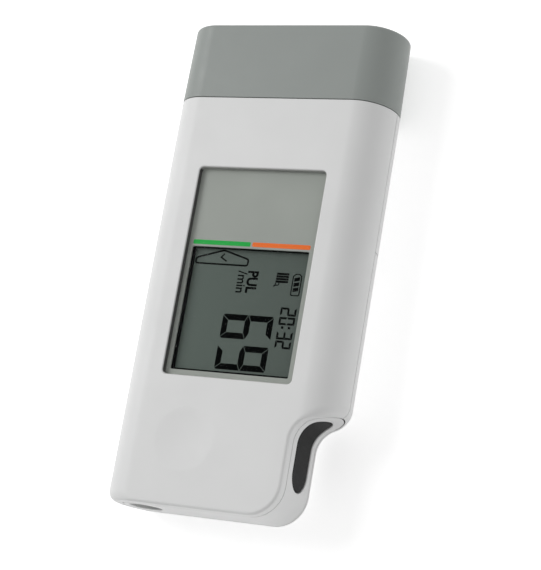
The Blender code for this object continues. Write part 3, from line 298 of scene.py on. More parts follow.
# %% Board and cell jacket
def lacquered(name, colour, copper):
    made, tree, shader, place = blank(name)
    tracks = []
    for stretch in ((1, 9, 1), (9, 1, 1)):
        drawn = wire(tree, "ShaderNodeMapping", {"Vector": place, "Scale": stretch}).outputs["Vector"]
        clouds = noise(tree, drawn, 9.0, 0).outputs["Fac"]
        tracks.append(spread(tree, clouds, 0, 1, 0.52, 0.54))
    both = wire(tree, "ShaderNodeMath", {0: tracks[0], 1: tracks[1]}, operation="MAXIMUM").outputs[0]
    weave = noise(tree, place, 0.5, 2).outputs["Fac"]
    tree.links.new(tint(tree, both, colour, copper), shader.inputs["Base Color"])
    tree.links.new(spread(tree, weave, 0.3, 0.42), shader.inputs["Roughness"])
    raised = relief(tree, both, 0.03)
    tree.links.new(relief(tree, weave, 0.01, raised), shader.inputs["Normal"])
    return made


def wrapped(name, body, band, edge_mm):
    """Shrunk film round a cell, with a darker band past an edge on the piece's own attribute `along`."""
    made, tree, shader, place = blank(name)
    along = wire(tree, "ShaderNodeAttribute", attribute_name="along").outputs["Fac"]
    share = spread(tree, along, 0, 1, edge_mm, edge_mm + 0.08)
    tree.links.new(tint(tree, share, body, band), shader.inputs["Base Color"])
    wrinkles = noise(tree, place, 1.2, 2).outputs["Fac"]
    tree.links.new(spread(tree, wrinkles, 0.26, 0.38), shader.inputs["Roughness"])
    tree.links.new(relief(tree, wrinkles, 0.01), shader.inputs["Normal"])
    shader.inputs["Metallic"].default_value = 0.6
    return made


board_lacquer = lacquered("board_lacquer", (0.012, 0.1, 0.045), (0.03, 0.2, 0.09))
cell_film = wrapped("cell_film", (0.5, 0.52, 0.55), (0.03, 0.05, 0.09), 32.0)

# %% [markdown]
# ## Helpers for shapes
# Almost every piece of a moulded product is a loft: a row of rings with the same number of points, joined by
# faces. A turned part, a prism and the whole casing are all lofts, so one helper makes them. Edges are rounded on
# the plain loft, before anything is cut from it, because a bevel works best on clean edges.

# %% Lofts, prisms and turned parts
def make(name, points, faces):
    """A mesh object from points in millimetres, its faces turned outwards."""
    mesh = bpy.data.meshes.new(name)
    mesh.from_pydata([Vector(point) * MM for point in points], [], faces)
    built = bmesh.new()
    built.from_mesh(mesh)
    bmesh.ops.recalc_face_normals(built, faces=built.faces)
    built.to_mesh(mesh)
    built.free()
    made = bpy.data.objects.new(name, mesh)
    bpy.context.scene.collection.objects.link(made)
    return made


def loft(name, rings):
    """A closed solid through rings of equal length."""
    count = len(rings[0])
    faces = [list(range(count)), [(len(rings) - 1) * count + side for side in range(count)]]
    for low in range(0, (len(rings) - 1) * count, count):
        for side in range(count):
            after = (side + 1) % count
            faces.append([low + side, low + after, low + count + after, low + count + side])
    return make(name, [point for ring in rings for point in ring], faces)


def prism(name, outline, axis, start, end):
    """A flat outline pushed along an axis. It holds the other two coordinates in their order."""
    rings = []
    for depth in (start, end):
        ring = []
        for point in outline:
            spot = list(point)
            spot.insert("XYZ".index(axis), depth)
            ring.append(spot)
        rings.append(ring)
    return loft(name, rings)


def turned(name, centre, axis, stations, steps=64):
    """A round solid through (distance along the axis, radius) stations."""
    rings = []
    for along, radius in stations:
        ring = []
        for step in range(steps):
            angle = math.tau * step / steps
            spot = [radius * math.cos(angle), radius * math.sin(angle)]
            spot.insert("XYZ".index(axis), along)
            ring.append(Vector(centre) + Vector(spot))
        rings.append(ring)
    return loft(name, rings)


# %% [markdown]
# Cutting is left to the exact Boolean solver. `carve` uses the cutters up, and `settle` keeps only the mesh that the
# modifiers made. `dress` is the last step of each piece: it merges doubles, smooths the shading below a
# crease angle, weights the normals so that large flat faces stay flat, gives the finish and hands the piece to its
# body.

# %% Rounding, cutting and dressing
def settle(piece):
    """Keeps what the modifiers make of a piece as its plain mesh."""
    ready = piece.evaluated_get(bpy.context.evaluated_depsgraph_get())
    mesh = bpy.data.meshes.new_from_object(ready)
    piece.modifiers.clear()
    piece.data = mesh
    return piece


def carve(piece, *others, way="DIFFERENCE"):
    """Cuts others out of a piece, or joins them to it."""
    for other in others:
        modifier = piece.modifiers.new("carve", "BOOLEAN")
        modifier.operation = way
        modifier.solver = "EXACT"
        modifier.object = other
    settle(piece)
    for other in others:
        bpy.data.objects.remove(other, do_unlink=True)
    return piece


def on(axis, *values):
    """Picks edges that lie in a plane across an axis."""
    place = "XYZ".index(axis)

    def chosen(first, second):
        return any(abs(first[place] - value) < 0.001 > abs(second[place] - value) for value in values)

    return chosen


def soften(piece, radius, *choices, segments=3):
    """Rounds the edges that any of the choices picks."""
    built = bmesh.new()
    built.from_mesh(piece.data)
    edges = []
    for edge in built.edges:
        ends = [corner.co / MM for corner in edge.verts]
        if any(chosen(*ends) for chosen in choices):
            edges.append(edge)
    settings = {"offset": radius * MM, "segments": segments, "profile": 0.5, "affect": "EDGES"}
    bmesh.ops.bevel(built, geom=edges, **settings)
    built.to_mesh(piece.data)
    built.free()
    return piece


def dress(piece, finish, body="handset", stands_for=(), crease=32):
    """Cleans, smooths and finishes a piece, and lets it ride on its body."""
    built = bmesh.new()
    built.from_mesh(piece.data)
    bmesh.ops.remove_doubles(built, verts=built.verts, dist=0.0005 * MM)
    bmesh.ops.dissolve_degenerate(built, edges=built.edges, dist=0.0002 * MM)
    bmesh.ops.recalc_face_normals(built, faces=built.faces)
    built.to_mesh(piece.data)
    built.free()
    if finish:
        piece.data.materials.clear()
        piece.data.materials.append(finish)
    piece.data.shade_smooth()
    piece.data.set_sharp_from_angle(angle=math.radians(crease))
    modifier = piece.modifiers.new("even shading", "WEIGHTED_NORMAL")
    modifier.keep_sharp = True
    settle(piece)
    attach(piece, body)
    if stands_for:
        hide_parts(*stands_for)
    print(f"{piece.name}: {len(piece.data.polygons)} faces on {body}")
    return piece


# %% [markdown]
# ## The casing's form
# Seen from the end, the casing is a flat slab with half ellipses for sides. Seen from the front, it has a small
# corner at the lower left, a large one at the lower right and the notch for the finger above it, with a hollow round
# that turns into a sloping ledge. `plan` draws that outline at one height. Where the ends turn into the front and the
# back, the outline is drawn in a little more at each height, which rounds the edge.

# %% The outline at one height
def polar(centre, radius, degrees):
    angle = math.radians(degrees)
    return (centre[0] + radius * math.cos(angle), centre[1] + radius * math.sin(angle))


def arc(centre, radius, start, end, steps):
    return [polar(centre, radius, start + (end - start) * step / steps) for step in range(steps + 1)]


def half_width(z, inset=0.0):
    reach = min(1.0, abs(z - MID) / (MID - inset))
    return FLAT_HALF + (SIDE_ROUND - inset) * math.sqrt(1 - reach**2)


def drawn_in(depth, radius):
    """How far a rounded edge stands back at this depth below its face."""
    over = min(max(radius - depth, 0.0), radius)
    return radius - math.sqrt(radius**2 - over**2)


def edge_inset(z):
    return drawn_in(THICK - z, FRONT_EDGE) + drawn_in(z, BACK_EDGE)


HOLLOW_Y = LEDGE_Y + ((NOTCH_X + HOLLOW - HALF) * math.sin(SLOPE) - HOLLOW) / math.cos(SLOPE)


def ledge_fillet(side, inset):
    """Centre, radius and first angle of the round between the notch's hollow and the side."""
    radius = max(LEDGE_ROUND - inset, 0.4)
    reach = HOLLOW + inset + radius
    across = side - radius - NOTCH_X - HOLLOW
    up = math.sqrt(max(reach**2 - across**2, 0.0))
    angle = math.degrees(math.atan2(up, across))
    steepest = 90 + math.degrees(SLOPE)
    if angle > steepest:
        return (side - radius, HOLLOW_Y + up), radius, angle
    drop = (inset + radius + (side - radius - HALF) * math.sin(SLOPE)) / math.cos(SLOPE)
    return (side - radius, LEDGE_Y + drop), radius, steepest


def plan(side, inset, upper):
    """The casing's outline from its upper edge on the left, round by the bottom end, to the right.

    `upper` holds the (half width, place) points of the upper edge, from the edge down."""
    low = END + inset
    wall = NOTCH_X - inset
    left = max(LEFT_CORNER - inset, 0.4)
    right = max(RIGHT_CORNER - inset, 0.4)
    centre, radius, angle = ledge_fillet(side, inset)
    points = [(-x, y) for x, y in upper]
    points += arc((left - side, low + left), left, 180, 270, 10)
    points += arc((wall - right, low + right), right, -90, 0, 18)
    last = angle + (180 - angle) / 36
    points += arc((NOTCH_X + HOLLOW, HOLLOW_Y), HOLLOW + inset, 180, last, 22)
    points += arc(centre, radius, angle - 180, 0, 14)
    return points + upper[::-1]


# %% [markdown]
# The heights of the rings lie closer together where the side turns towards a face, and again where an end edge is
# rounded, because that is where light shows a coarse mesh first. The seams need rounded edges too, or they would
# catch no light. These edges are part of the rings: the outline is drawn in near the height of a cut, and its upper
# edge follows a small arc.

# %% The casing between two heights
EASE = 0.12


def heights(low, high, inset=0.0, steps=26, cut=None):
    """Heights for the casing's rings between two ends, with more of them at a cut."""
    reach = MID - inset
    first, last = [math.asin(max(-1.0, min(1.0, (z - MID) / reach))) for z in (low, high)]
    found = [MID + reach * math.sin(first + (last - first) * step / steps) for step in range(steps + 1)]
    if not inset:
        for step in range(1, 6):
            turned_in = 1 - math.sin(math.radians(18 * step))
            found += [THICK - FRONT_EDGE * turned_in, BACK_EDGE * turned_in]
        found += [THICK - FRONT_EDGE, BACK_EDGE, THICK - EASE, EASE]
    if cut is not None:
        found += [cut + share * EASE for share in (-1, -0.5, -0.2, 0.2, 0.5, 1)]
    kept = [low]
    for z in sorted(found):
        if kept[-1] + 0.02 < z < high - 0.02:
            kept.append(z)
    return kept + [high]


def upper_edge(z, top):
    """Half widths and places of the rounded edge at a seam across the casing, from the top down."""
    most = max(min(EASE, THICK - z, z), 0.002)
    points = []
    for share in (1.0, 0.6, 0.25, 0.0):
        depth = most * share
        points.append((half_width(z, depth), top - EASE + math.sqrt(EASE**2 - (EASE - depth) ** 2)))
    return points


def casing(name, low, high, top, inset=0.0, cut=None):
    """The casing between two heights. One with a cut has rounded edges there and at its top."""
    rings = []
    for z in heights(low, high, inset, cut=cut):
        side = half_width(z, inset)
        upper = [(side, top)]
        draw = 0.0
        if cut is not None:
            draw = drawn_in(abs(z - cut), EASE)
            upper = [(x - draw, y - draw) for x, y in upper_edge(z, top)]
        rings.append([(x, y, z) for x, y in plan(side - draw, (inset or edge_inset(z)) + draw, upper)])
    return loft(name, rings)


def lengthened(name, low, high, start, end, inset=0.0):
    """The casing's cross-section between two heights, pushed along the casing."""
    levels = heights(low, high, inset)
    outline = [(half_width(z, inset), z) for z in levels]
    outline += [(-half_width(z, inset), z) for z in levels[::-1]]
    return prism(name, outline, "Y", start, end)


print(f"the notch's hollow has its middle at y {HOLLOW_Y:.1f}")

# %% [markdown]
# ## The band round the notch
# A white band is let into the notch and the lower end. It bends round the ledge, down the notch and along the
# bottom, so its outline is easiest to draw along the rim: a place is a distance along the rim, a height and a depth
# below the surface. A band is a row of layers, and each layer may be a little larger or smaller than the last, which
# gives round edges, flared rooms and flanges from the same helper.

# %% Along the rim
def rim_parts():
    """The stretches of the rim from the side wall to the lower left corner."""
    centre, radius, angle = ledge_fillet(HALF, 0.0)
    hollow = (NOTCH_X + HOLLOW, HOLLOW_Y)
    corner = (NOTCH_X - RIGHT_CORNER, END + RIGHT_CORNER)
    left = (LEFT_CORNER - HALF, END + LEFT_CORNER)
    return [
        ("round", centre, radius, 0, angle - 180),
        ("line", polar(centre, radius, angle - 180), polar(hollow, HOLLOW, angle)),
        ("hollow", hollow, HOLLOW, angle, 180),
        ("line", (NOTCH_X, HOLLOW_Y), (NOTCH_X, corner[1])),
        ("round", corner, RIGHT_CORNER, 0, -90),
        ("line", (corner[0], END), (left[0], END)),
        ("round", left, LEFT_CORNER, -90, -180),
    ]


RIM = rim_parts()


def part_length(part):
    if part[0] == "line":
        return math.dist(part[1], part[2])
    return part[2] * abs(math.radians(part[4] - part[3]))


def rim(distance):
    """A point of the rim and the direction into the casing there."""
    for part in RIM:
        length = part_length(part)
        if distance <= length:
            break
        distance -= length
    share = min(distance / length, 1.0)
    if part[0] == "line":
        start = Vector(part[1])
        along = (Vector(part[2]) - start).normalized()
        return start.lerp(Vector(part[2]), share), Vector((along.y, -along.x))
    angle = math.radians(part[3] + (part[4] - part[3]) * share)
    outward = Vector((math.cos(angle), math.sin(angle)))
    return Vector(part[1]) + part[2] * outward, outward if part[0] == "hollow" else -outward


def band_columns(start, end, radius, steps):
    """(distance, half height) columns of a band with round ends."""
    turns = [math.radians(90 * step / 12) for step in range(13)]
    columns = [(start + radius * (1 - math.cos(turn)), radius * math.sin(turn)) for turn in turns]
    span = end - start - 2 * radius
    columns += [(start + radius + span * step / steps, radius) for step in range(1, steps)]
    columns += [(end - radius * (1 - math.cos(turn)), radius * math.sin(turn)) for turn in turns[::-1]]
    return columns


# %% Bands with layers
def band(name, start, end, middle, width, layers, steps=120):
    """A closed band along the rim. Each layer is (depth below the surface, growth all round)."""
    points = []
    strip = []
    index = {}
    last = steps + 24
    for layer, (depth, grow) in enumerate(layers):
        columns = band_columns(start - grow, end + grow, width / 2 + grow, steps)
        for number, (distance, half) in enumerate(columns):
            place, inward = rim(max(distance, 0.0))
            spot = place + inward * depth
            for side in (-1, 1):
                if side == 1 and number in (0, last):
                    index[layer, number, 1] = index[layer, number, -1]
                    continue
                index[layer, number, side] = len(points)
                points.append((spot.x, spot.y, middle + side * half))
                strip.append((distance, side * half, depth))
    faces = []
    for number in range(last):
        for layer in (0, len(layers) - 1):
            corners = [(number, -1), (number + 1, -1), (number + 1, 1), (number, 1)]
            faces.append(list(dict.fromkeys(index[layer, place, side] for place, side in corners)))
        for layer in range(len(layers) - 1):
            for side in (-1, 1):
                corners = [(layer, number), (layer, number + 1)]
                corners += [(layer + 1, number + 1), (layer + 1, number)]
                faces.append([index[level, place, side] for level, place in corners])
    made = make(name, points, faces)
    attribute = made.data.attributes.new("strip", "FLOAT_VECTOR", "POINT")
    attribute.data.foreach_set("vector", [number for spot in strip for number in spot])
    return made


def rounded_over(radius, grow, depth, start=0.0, steps=4):
    """Layers of a band with a rounded outer edge, down to a depth."""
    layers = []
    for step in range(steps + 1):
        turn = math.radians(90 * step / steps)
        layers.append((start + radius * (1 - math.cos(turn)), grow - radius * (1 - math.sin(turn))))
    return layers + [(depth, grow)]


def flared(radius, grow, depth, start=0.0):
    """Layers of a cutter that leaves a small chamfer at the surface and passes through to a depth."""
    over = 0.6
    return [(start - over, grow + radius + over), (start + radius, grow), (depth + over, grow)]


RAIL_LOW, RAIL_HIGH = box_mm("electrode_rail")
RAIL_Z = (RAIL_LOW.z + RAIL_HIGH.z) / 2
RAIL_WIDTH = RAIL_HIGH.z - RAIL_LOW.z
RAIL_START = 3.6
RAIL_END = sum(part_length(part) for part in RIM[:-1]) + LEFT_CORNER - 3.75
REACH_IN = (CAD_GAP - BAND_SEAM) / 2


def rail_room(name):
    return band(name, RAIL_START, RAIL_END, RAIL_Z, RAIL_WIDTH, flared(0.12, CAD_GAP - REACH_IN, WALL))


print(f"the band is {RAIL_END - RAIL_START:.1f} mm long and {RAIL_WIDTH:.1f} mm high")

# %% [markdown]
# ## The front shell
# The front is one moulding: a thin shell with the display's window, the shallow dish for the thumb and a few posts
# inside. It is lofted as a solid, its seam edges are rounded, and then the room inside, the window and the dish are
# cut out. The dish is a third of a millimetre deep. Its cutter turns flat towards the rim, so the shading fades out
# softly.

# %% Cutters for the front
LENS_LOW, LENS_HIGH = box_mm("display_lens")
WINDOW_X = LENS_HIGH.x + CAD_GAP
WINDOW_LOW = LENS_LOW.y - CAD_GAP
WINDOW_TOP = LENS_HIGH.y + CAD_GAP
WINDOW_Y = (WINDOW_LOW + WINDOW_TOP) / 2
WINDOW_CORNER = 1.2
POST_X = (box_mm("case_screw_2")[0].x + box_mm("case_screw_2")[1].x) / 2
POST_END = box_mm("battery_tray")[1].z + CAD_GAP
POST_YS = [(box_mm(f"case_screw_{n}")[0].y + box_mm(f"case_screw_{n}")[1].y) / 2 for n in (1, 2, 3, 4)]
POSTS = list(zip((-POST_X, POST_X, POST_X, POST_X), POST_YS))
POST_RADIUS = 2.2
BORE_RADIUS = 1.3


def rounded_rectangle(x, y, width, length, radius, steps=8):
    across = width / 2 - radius
    up = length / 2 - radius
    points = []
    for start, right, above in ((0, 1, 1), (90, -1, 1), (180, -1, -1), (270, 1, -1)):
        points += arc((x + right * across, y + above * up), radius, start, start + 90, steps)
    return points


def window_cutter():
    """The window, with a rounded edge where it meets the front."""
    levels = [(THICK - WALL - 2, 0.0)]
    for step in range(5):
        turn = math.radians(90 * step / 4)
        levels.append((THICK - 0.3 + 0.3 * math.sin(turn), 0.3 * (1 - math.cos(turn))))
    levels.append((THICK + 2, 0.3))
    rings = []
    for z, grow in levels:
        size = (2 * (WINDOW_X + grow), WINDOW_TOP - WINDOW_LOW + 2 * grow)
        rings.append([(x, y, z) for x, y in rounded_rectangle(0, WINDOW_Y, *size, WINDOW_CORNER + grow)])
    return loft("window_cutter", rings)


def dish_cutter(reach=8.5, depth=0.35):
    """A shallow bowl that meets the front at a very small angle."""
    stations = [(0.0005 - depth, 0.1)]
    for step in range(1, 25):
        share = step / 24 * 1.04
        stations.append((0.012 * share**2 - depth * max(1 - share**2, 0.0) ** 1.6, reach * share))
    stations.append((0.5, reach * 1.05))
    return turned("dish_cutter", (-8.1, END + 16.3, THICK), "Z", stations, 96)


# %% The front shell
front_low = PARTING + SEAM / 2
front_top = SEAM_Y - SEAM / 2
front_casing = casing("front_casing", front_low, THICK, front_top, cut=front_low)
front_room = casing("front_room", PARTING - 2, THICK - WALL, SEAM_Y + 2, WALL)
posts = []
bores = []
for number, (x, y) in enumerate(POSTS):
    foot = (x, y, POST_END)
    posts.append(turned(f"post_{number}", foot, "Z", [(0, POST_RADIUS), (THICK, POST_RADIUS)], 24))
    bores.append(turned(f"bore_{number}", foot, "Z", [(-2, BORE_RADIUS), (4, BORE_RADIUS)], 24))
carve(front_room, *posts)
carve(front_casing, front_room, rail_room("front_rail_room"), window_cutter(), dish_cutter(), *bores)


def lip(name, side, start):
    """A lip that reaches past the parting line, just inside the wall below it."""
    wall = HALF - WALL
    low = PARTING - 0.9
    outline = [
        (wall + 0.7, PARTING + CAD_GAP),
        (wall - 0.3, PARTING + CAD_GAP),
        (wall - 0.3, low + 0.2),
        (wall - 0.5, low),
        (wall - 1.1, low),
        (wall - 1.1, PARTING + 1.2),
        (wall + 0.7, PARTING + 1.2),
    ]
    return prism(name, [(side * x, z) for x, z in outline], "Y", start, SEAM_Y - 4.5 - CAD_GAP)


carve(front_casing, lip("lip_right", 1, LEDGE_Y + 3), lip("lip_left", -1, END + 4), way="UNION")
dress(front_casing, white_casing, stands_for=["front_shell"])

# %% [markdown]
# ## Back shell and battery cover
# Below the parting line the casing is in two pieces: a short back shell near the cap, held by two screws in
# deep wells, and a long cover over the cells, which slides off towards the lower end. The cover's grip is a row of
# five grooves. Such a row is a job for Geometry Nodes: one bar goes in, and the tree sets it out along a line.

# %% A tree that sets pieces out in a row
def tree_with(name, sizes):
    """A new Geometry Nodes tree with named inputs for its sizes, and its two end nodes."""
    tree = bpy.data.node_groups.new(name, "GeometryNodeTree")
    tree.interface.new_socket("Geometry", in_out="INPUT", socket_type="NodeSocketGeometry")
    tree.interface.new_socket("Geometry", in_out="OUTPUT", socket_type="NodeSocketGeometry")
    for label, kind in sizes.items():
        tree.interface.new_socket(label, in_out="INPUT", socket_type="NodeSocket" + kind)
    start = wire(tree, "NodeGroupInput")
    return tree, start.outputs


def close_tree(tree, geometry, finish):
    """Ends a tree: real geometry, its finish, and the output."""
    real = wire(tree, "GeometryNodeRealizeInstances", {"Geometry": geometry}).outputs[0]
    painted = wire(tree, "GeometryNodeSetMaterial", {"Geometry": real, "Material": finish}).outputs[0]
    wire(tree, "NodeGroupOutput", {0: painted})


def grow(piece, tree, **sizes):
    """Runs a tree on a piece and keeps the result as the piece's plain mesh."""
    modifier = piece.modifiers.new(tree.name, "NODES")
    modifier.node_group = tree
    inputs = [socket for socket in tree.interface.items_tree if socket.in_out == "INPUT"]
    sockets = {socket.name: socket.identifier for socket in inputs}
    for label, value in sizes.items():
        modifier[sockets[label.replace("_", " ")]] = value
    return settle(piece)


def row_tree(finish):
    tree, given = tree_with("row_" + finish.name, {"Count": "Int", "Step": "Vector"})
    line_inputs = {"Count": given["Count"], "Offset": given["Step"]}
    line = wire(tree, "GeometryNodeMeshLine", line_inputs, mode="OFFSET").outputs[0]
    spots = wire(tree, "GeometryNodeInstanceOnPoints", {"Points": line, "Instance": given["Geometry"]})
    close_tree(tree, spots.outputs[0], finish)
    return tree


# %% The battery cover
cover_top = COVER_Y - SEAM / 2
cover_high = PARTING - SEAM / 2
battery_door = casing("battery_door", 0, cover_high, cover_top, cut=cover_high)
GROOVES = 5
GROOVE_STEP = 2.0
first_groove = cover_top - 9 - (GROOVES - 1) * GROOVE_STEP
groove_outline = [(first_groove + y, z) for y, z in arc((0, 0.1), 0.45, 180, 0, 8)]
groove_outline += [(first_groove + 1.0, -0.6), (first_groove - 1.0, -0.6)]
grooves = prism("grooves", groove_outline, "X", -7.0, 7.0)
grow(grooves, row_tree(white_casing), Count=GROOVES, Step=(0, GROOVE_STEP * MM, 0))
door_room = casing("door_room", WALL, PARTING + 2, cover_top + 2, WALL)
carve(battery_door, grooves, door_room)


def tongue(middle):
    """A rib between two cells that ends in a tongue, which reaches inside the back shell."""
    low, step, top = 0.7, WALL + 0.3, COVER_Y - CAD_GAP / 2
    outline = [(top - 50, low), (top - 0.3, low), (top - 0.3, step), (top + 3, step)]
    outline += [(top + 3, step + 0.5), (top + 2.8, step + 0.7), (top - 50, step + 0.7)]
    return prism("tongue", outline, "X", middle - 2, middle + 2)


CELLS = [(box_mm(f"battery_cell_{n}")[0] + box_mm(f"battery_cell_{n}")[1]) / 2 for n in (1, 2, 3)]
carve(battery_door, *[tongue((CELLS[n].x + CELLS[n + 1].x) / 2) for n in (0, 1)], way="UNION")


def ledge_relief():
    """What the band's upper end sweeps out of the cover as the cover slides off."""
    gap = 0.32
    start = RAIL_START - gap
    radius = RAIL_WIDTH / 2 + gap
    ledge = part_length(RIM[0]) + part_length(RIM[1]) - start
    upper = []
    for step in range(1, 17):
        distance = ledge * (1 - math.cos(math.pi / 2 * step / 16))
        half = math.sqrt(radius**2 - (radius - distance) ** 2)
        upper.append((rim(start + distance)[0].x, half))
    left = NOTCH_X + gap
    outline = [(left, upper[-1][1])] + upper[::-1] + [(rim(start)[0].x, 0)]
    outline += [(x, -half) for x, half in upper] + [(left, -upper[-1][1])]
    return prism("ledge_relief", [(x, RAIL_Z + half) for x, half in outline], "Y", HOLLOW_Y, LEDGE_Y + 2)


carve(battery_door, rail_room("door_rail_room"), ledge_relief())
dress(battery_door, white_casing, "battery_cover", ["battery_cover"])

# %% The back shell
back_low = COVER_Y + SEAM / 2
back_casing = lengthened("back_casing", 0, cover_high, back_low, front_top)
soften(back_casing, EASE, on("Z", cover_high), on("Y", back_low, front_top))
back_room = lengthened("back_room", WALL, PARTING + 2, back_low - 2, front_top + 2, WALL)
for number, (x, y) in enumerate(POSTS[:2]):
    pad_top = PARTING - CAD_GAP
    well_top = pad_top - 1.6
    carve(back_room, turned("pad", (x, y, 0), "Z", [(-2, 3.2), (pad_top, 3.2)], 48))
    well = [(-0.4, 2.7), (0.2, 2.1), (well_top, 2.1)]
    bore = [(1, BORE_RADIUS), (THICK, BORE_RADIUS)]
    carve(back_casing, turned("well", (x, y, 0), "Z", well), turned("bore", (x, y, 0), "Z", bore))
carve(back_casing, back_room)
dress(back_casing, white_casing, stands_for=["back_shell"])

# %% [markdown]
# ## The band, the finger's electrode and the key
# The band is the same helper with a rounded outer edge. Its slot for the electrode and its hole for the key have
# small chamfers. The electrode fills the slot, stands a tenth of a millimetre below the surface and has a flange
# behind it that keeps it in. The key is turned, with a gently swollen face.

# %% The white band
PAD_LOW, PAD_HIGH = box_mm("finger_electrode")
PAD_Z = (PAD_LOW.z + PAD_HIGH.z) / 2
PAD_WIDTH = PAD_HIGH.z - PAD_LOW.z - 2 * 1.0
PAD_START = 6.7
PAD_END = PAD_START + 20.0
KEY_LOW, KEY_HIGH = box_mm("power_key")
KEY_X = (KEY_LOW.x + KEY_HIGH.x) / 2
KEY_Z = (KEY_LOW.z + KEY_HIGH.z) / 2
KEY_RADIUS = (KEY_HIGH.x - KEY_LOW.x) / 2 - 1.2
band_layers = rounded_over(0.14, REACH_IN, WALL)
white_band = band("white_band", RAIL_START, RAIL_END, RAIL_Z, RAIL_WIDTH, band_layers, 160)
pad_slot = band("pad_slot", PAD_START, PAD_END, PAD_Z, PAD_WIDTH, flared(0.15, CAD_GAP - REACH_IN, WALL))
hole = KEY_RADIUS + CAD_GAP - REACH_IN
hole_stations = [(-0.6, hole + 0.8), (0.2, hole), (WALL + 1, hole)]
key_hole = turned("key_hole", (KEY_X, END, KEY_Z), "Y", hole_stations)
carve(white_band, pad_slot, key_hole)
dress(white_band, white_casing, stands_for=["electrode_rail"])

# %% The electrode and the key
flange = WALL + CAD_GAP
pad_layers = rounded_over(0.4, 0.1, flange, 0.1, 6)
pad_layers += [(flange, 1.0), (flange + 0.8, 1.0)]
finger_pad = band("finger_pad", PAD_START, PAD_END, PAD_Z, PAD_WIDTH, pad_layers)
dress(finger_pad, pad_black, stands_for=["finger_electrode"], crease=50)

dome = 0.4
ball = (KEY_RADIUS**2 + dome**2) / (2 * dome)
key_stations = []
for step in range(1, 13):
    reach = KEY_RADIUS * step / 13
    key_stations.append((0.1 + ball - math.sqrt(ball**2 - reach**2), reach))
for step in range(5):
    turn = math.radians(90 * step / 4)
    rise = 0.3 * (1 - math.cos(turn))
    key_stations.append((0.45 + rise, KEY_RADIUS + 0.08 - 0.3 * (1 - math.sin(turn))))
key_stations += [(flange, KEY_RADIUS + 0.08), (flange, KEY_RADIUS + 1.2), (flange + 0.9, KEY_RADIUS + 1.2)]
key_stations += [(flange + 0.9, 1.6), (flange + 2.0, 1.6), (flange + 2.2, 1.4)]
push_key = turned("push_key", (KEY_X, END, KEY_Z), "Y", key_stations, 72)
dress(push_key, key_grey, "power_key", ["power_key"])

# %% [markdown]
# ## Cap, neck and chest plate
# These three share one rule: at any place along them their section is the casing's own section, drawn in by some
# amount. A Geometry Nodes tree follows that rule. The object's own mesh is only a row of points, whose X is the inset
# and whose Y is the place along the casing. The tree lays a grid with a row for each point and bends every row round
# the section. One tree then makes the cap with its hollow inside, the neck below it and the plate on top.

# %% The section tree
def section_tree(finish):
    sizes = {"Flat half": "Float", "Side reach": "Float", "Middle": "Float", "Steps": "Int"}
    tree, given = tree_with("section_" + finish.name, sizes)

    def sums(operation, first, second=0.0):
        return wire(tree, "ShaderNodeMath", {0: first, 1: second}, operation=operation).outputs[0]

    domain = wire(tree, "GeometryNodeAttributeDomainSize", {"Geometry": given["Geometry"]})
    points = domain.outputs["Point Count"]
    ring = sums("ADD", sums("MULTIPLY", given["Steps"], 2.0), 2.0)
    across = sums("ADD", ring, 1.0)
    grid_inputs = {"Vertices X": points, "Vertices Y": across}
    grid = wire(tree, "GeometryNodeMeshGrid", grid_inputs).outputs["Mesh"]
    index = wire(tree, "GeometryNodeInputIndex").outputs[0]
    row = sums("FLOOR", sums("DIVIDE", sums("ADD", index, 0.5), across))
    column = sums("MODULO", sums("SUBTRACT", index, sums("MULTIPLY", row, across)), ring)
    on_left = sums("GREATER_THAN", column, sums("ADD", given["Steps"], 0.5))
    side = sums("SUBTRACT", 1.0, sums("MULTIPLY", on_left, 2.0))
    number = sums("SUBTRACT", column, sums("MULTIPLY", on_left, sums("ADD", given["Steps"], 1.0)))
    share = sums("DIVIDE", number, given["Steps"])
    angle = sums("MULTIPLY", side, sums("SUBTRACT", math.pi / 2, sums("MULTIPLY", share, math.pi)))
    spot = wire(tree, "GeometryNodeInputPosition").outputs[0]
    sample = {"Geometry": given["Geometry"], "Value": spot, "Index": row}
    profile = wire(tree, "GeometryNodeSampleIndex", sample, data_type="FLOAT_VECTOR").outputs[0]
    parts = wire(tree, "ShaderNodeSeparateXYZ", {0: profile}).outputs
    reach = sums("MULTIPLY", sums("SUBTRACT", given["Side reach"], parts["X"]), sums("COSINE", angle))
    x = sums("MULTIPLY", side, sums("ADD", given["Flat half"], reach))
    rise = sums("MULTIPLY", sums("SUBTRACT", given["Middle"], parts["X"]), sums("SINE", angle))
    place = {"X": x, "Y": parts["Y"], "Z": sums("ADD", given["Middle"], rise)}
    moved = wire(tree, "ShaderNodeCombineXYZ", place).outputs[0]
    bent = wire(tree, "GeometryNodeSetPosition", {"Geometry": grid, "Position": moved}).outputs[0]
    closed = wire(tree, "GeometryNodeMergeByDistance", {"Geometry": bent, "Distance": 0.0001 * MM})
    close_tree(tree, closed.outputs[0], finish)
    return tree


def sectioned(name, profile, finish):
    """A solid whose section is the casing's, drawn in by each inset at each place of the profile."""
    mesh = bpy.data.meshes.new(name)
    mesh.from_pydata([(inset * MM, y * MM, 0) for inset, y in profile], [], [])
    made = bpy.data.objects.new(name, mesh)
    bpy.context.scene.collection.objects.link(made)
    sizes = {"Flat_half": FLAT_HALF * MM, "Side_reach": SIDE_ROUND * MM, "Middle": MID * MM, "Steps": 40}
    grow(made, section_tree(finish), **sizes)
    built = bmesh.new()
    built.from_mesh(made.data)
    open_edges = [edge for edge in built.edges if edge.is_boundary]
    bmesh.ops.holes_fill(built, edges=open_edges, sides=0)
    bmesh.ops.recalc_face_normals(built, faces=built.faces)
    built.to_mesh(made.data)
    built.free()
    return made


# %% The cap
CAP_EDGE = 0.8
CAP_WALL = 1.6
CAP_TAPER = 0.27
mouth = SEAM_Y + SEAM / 2


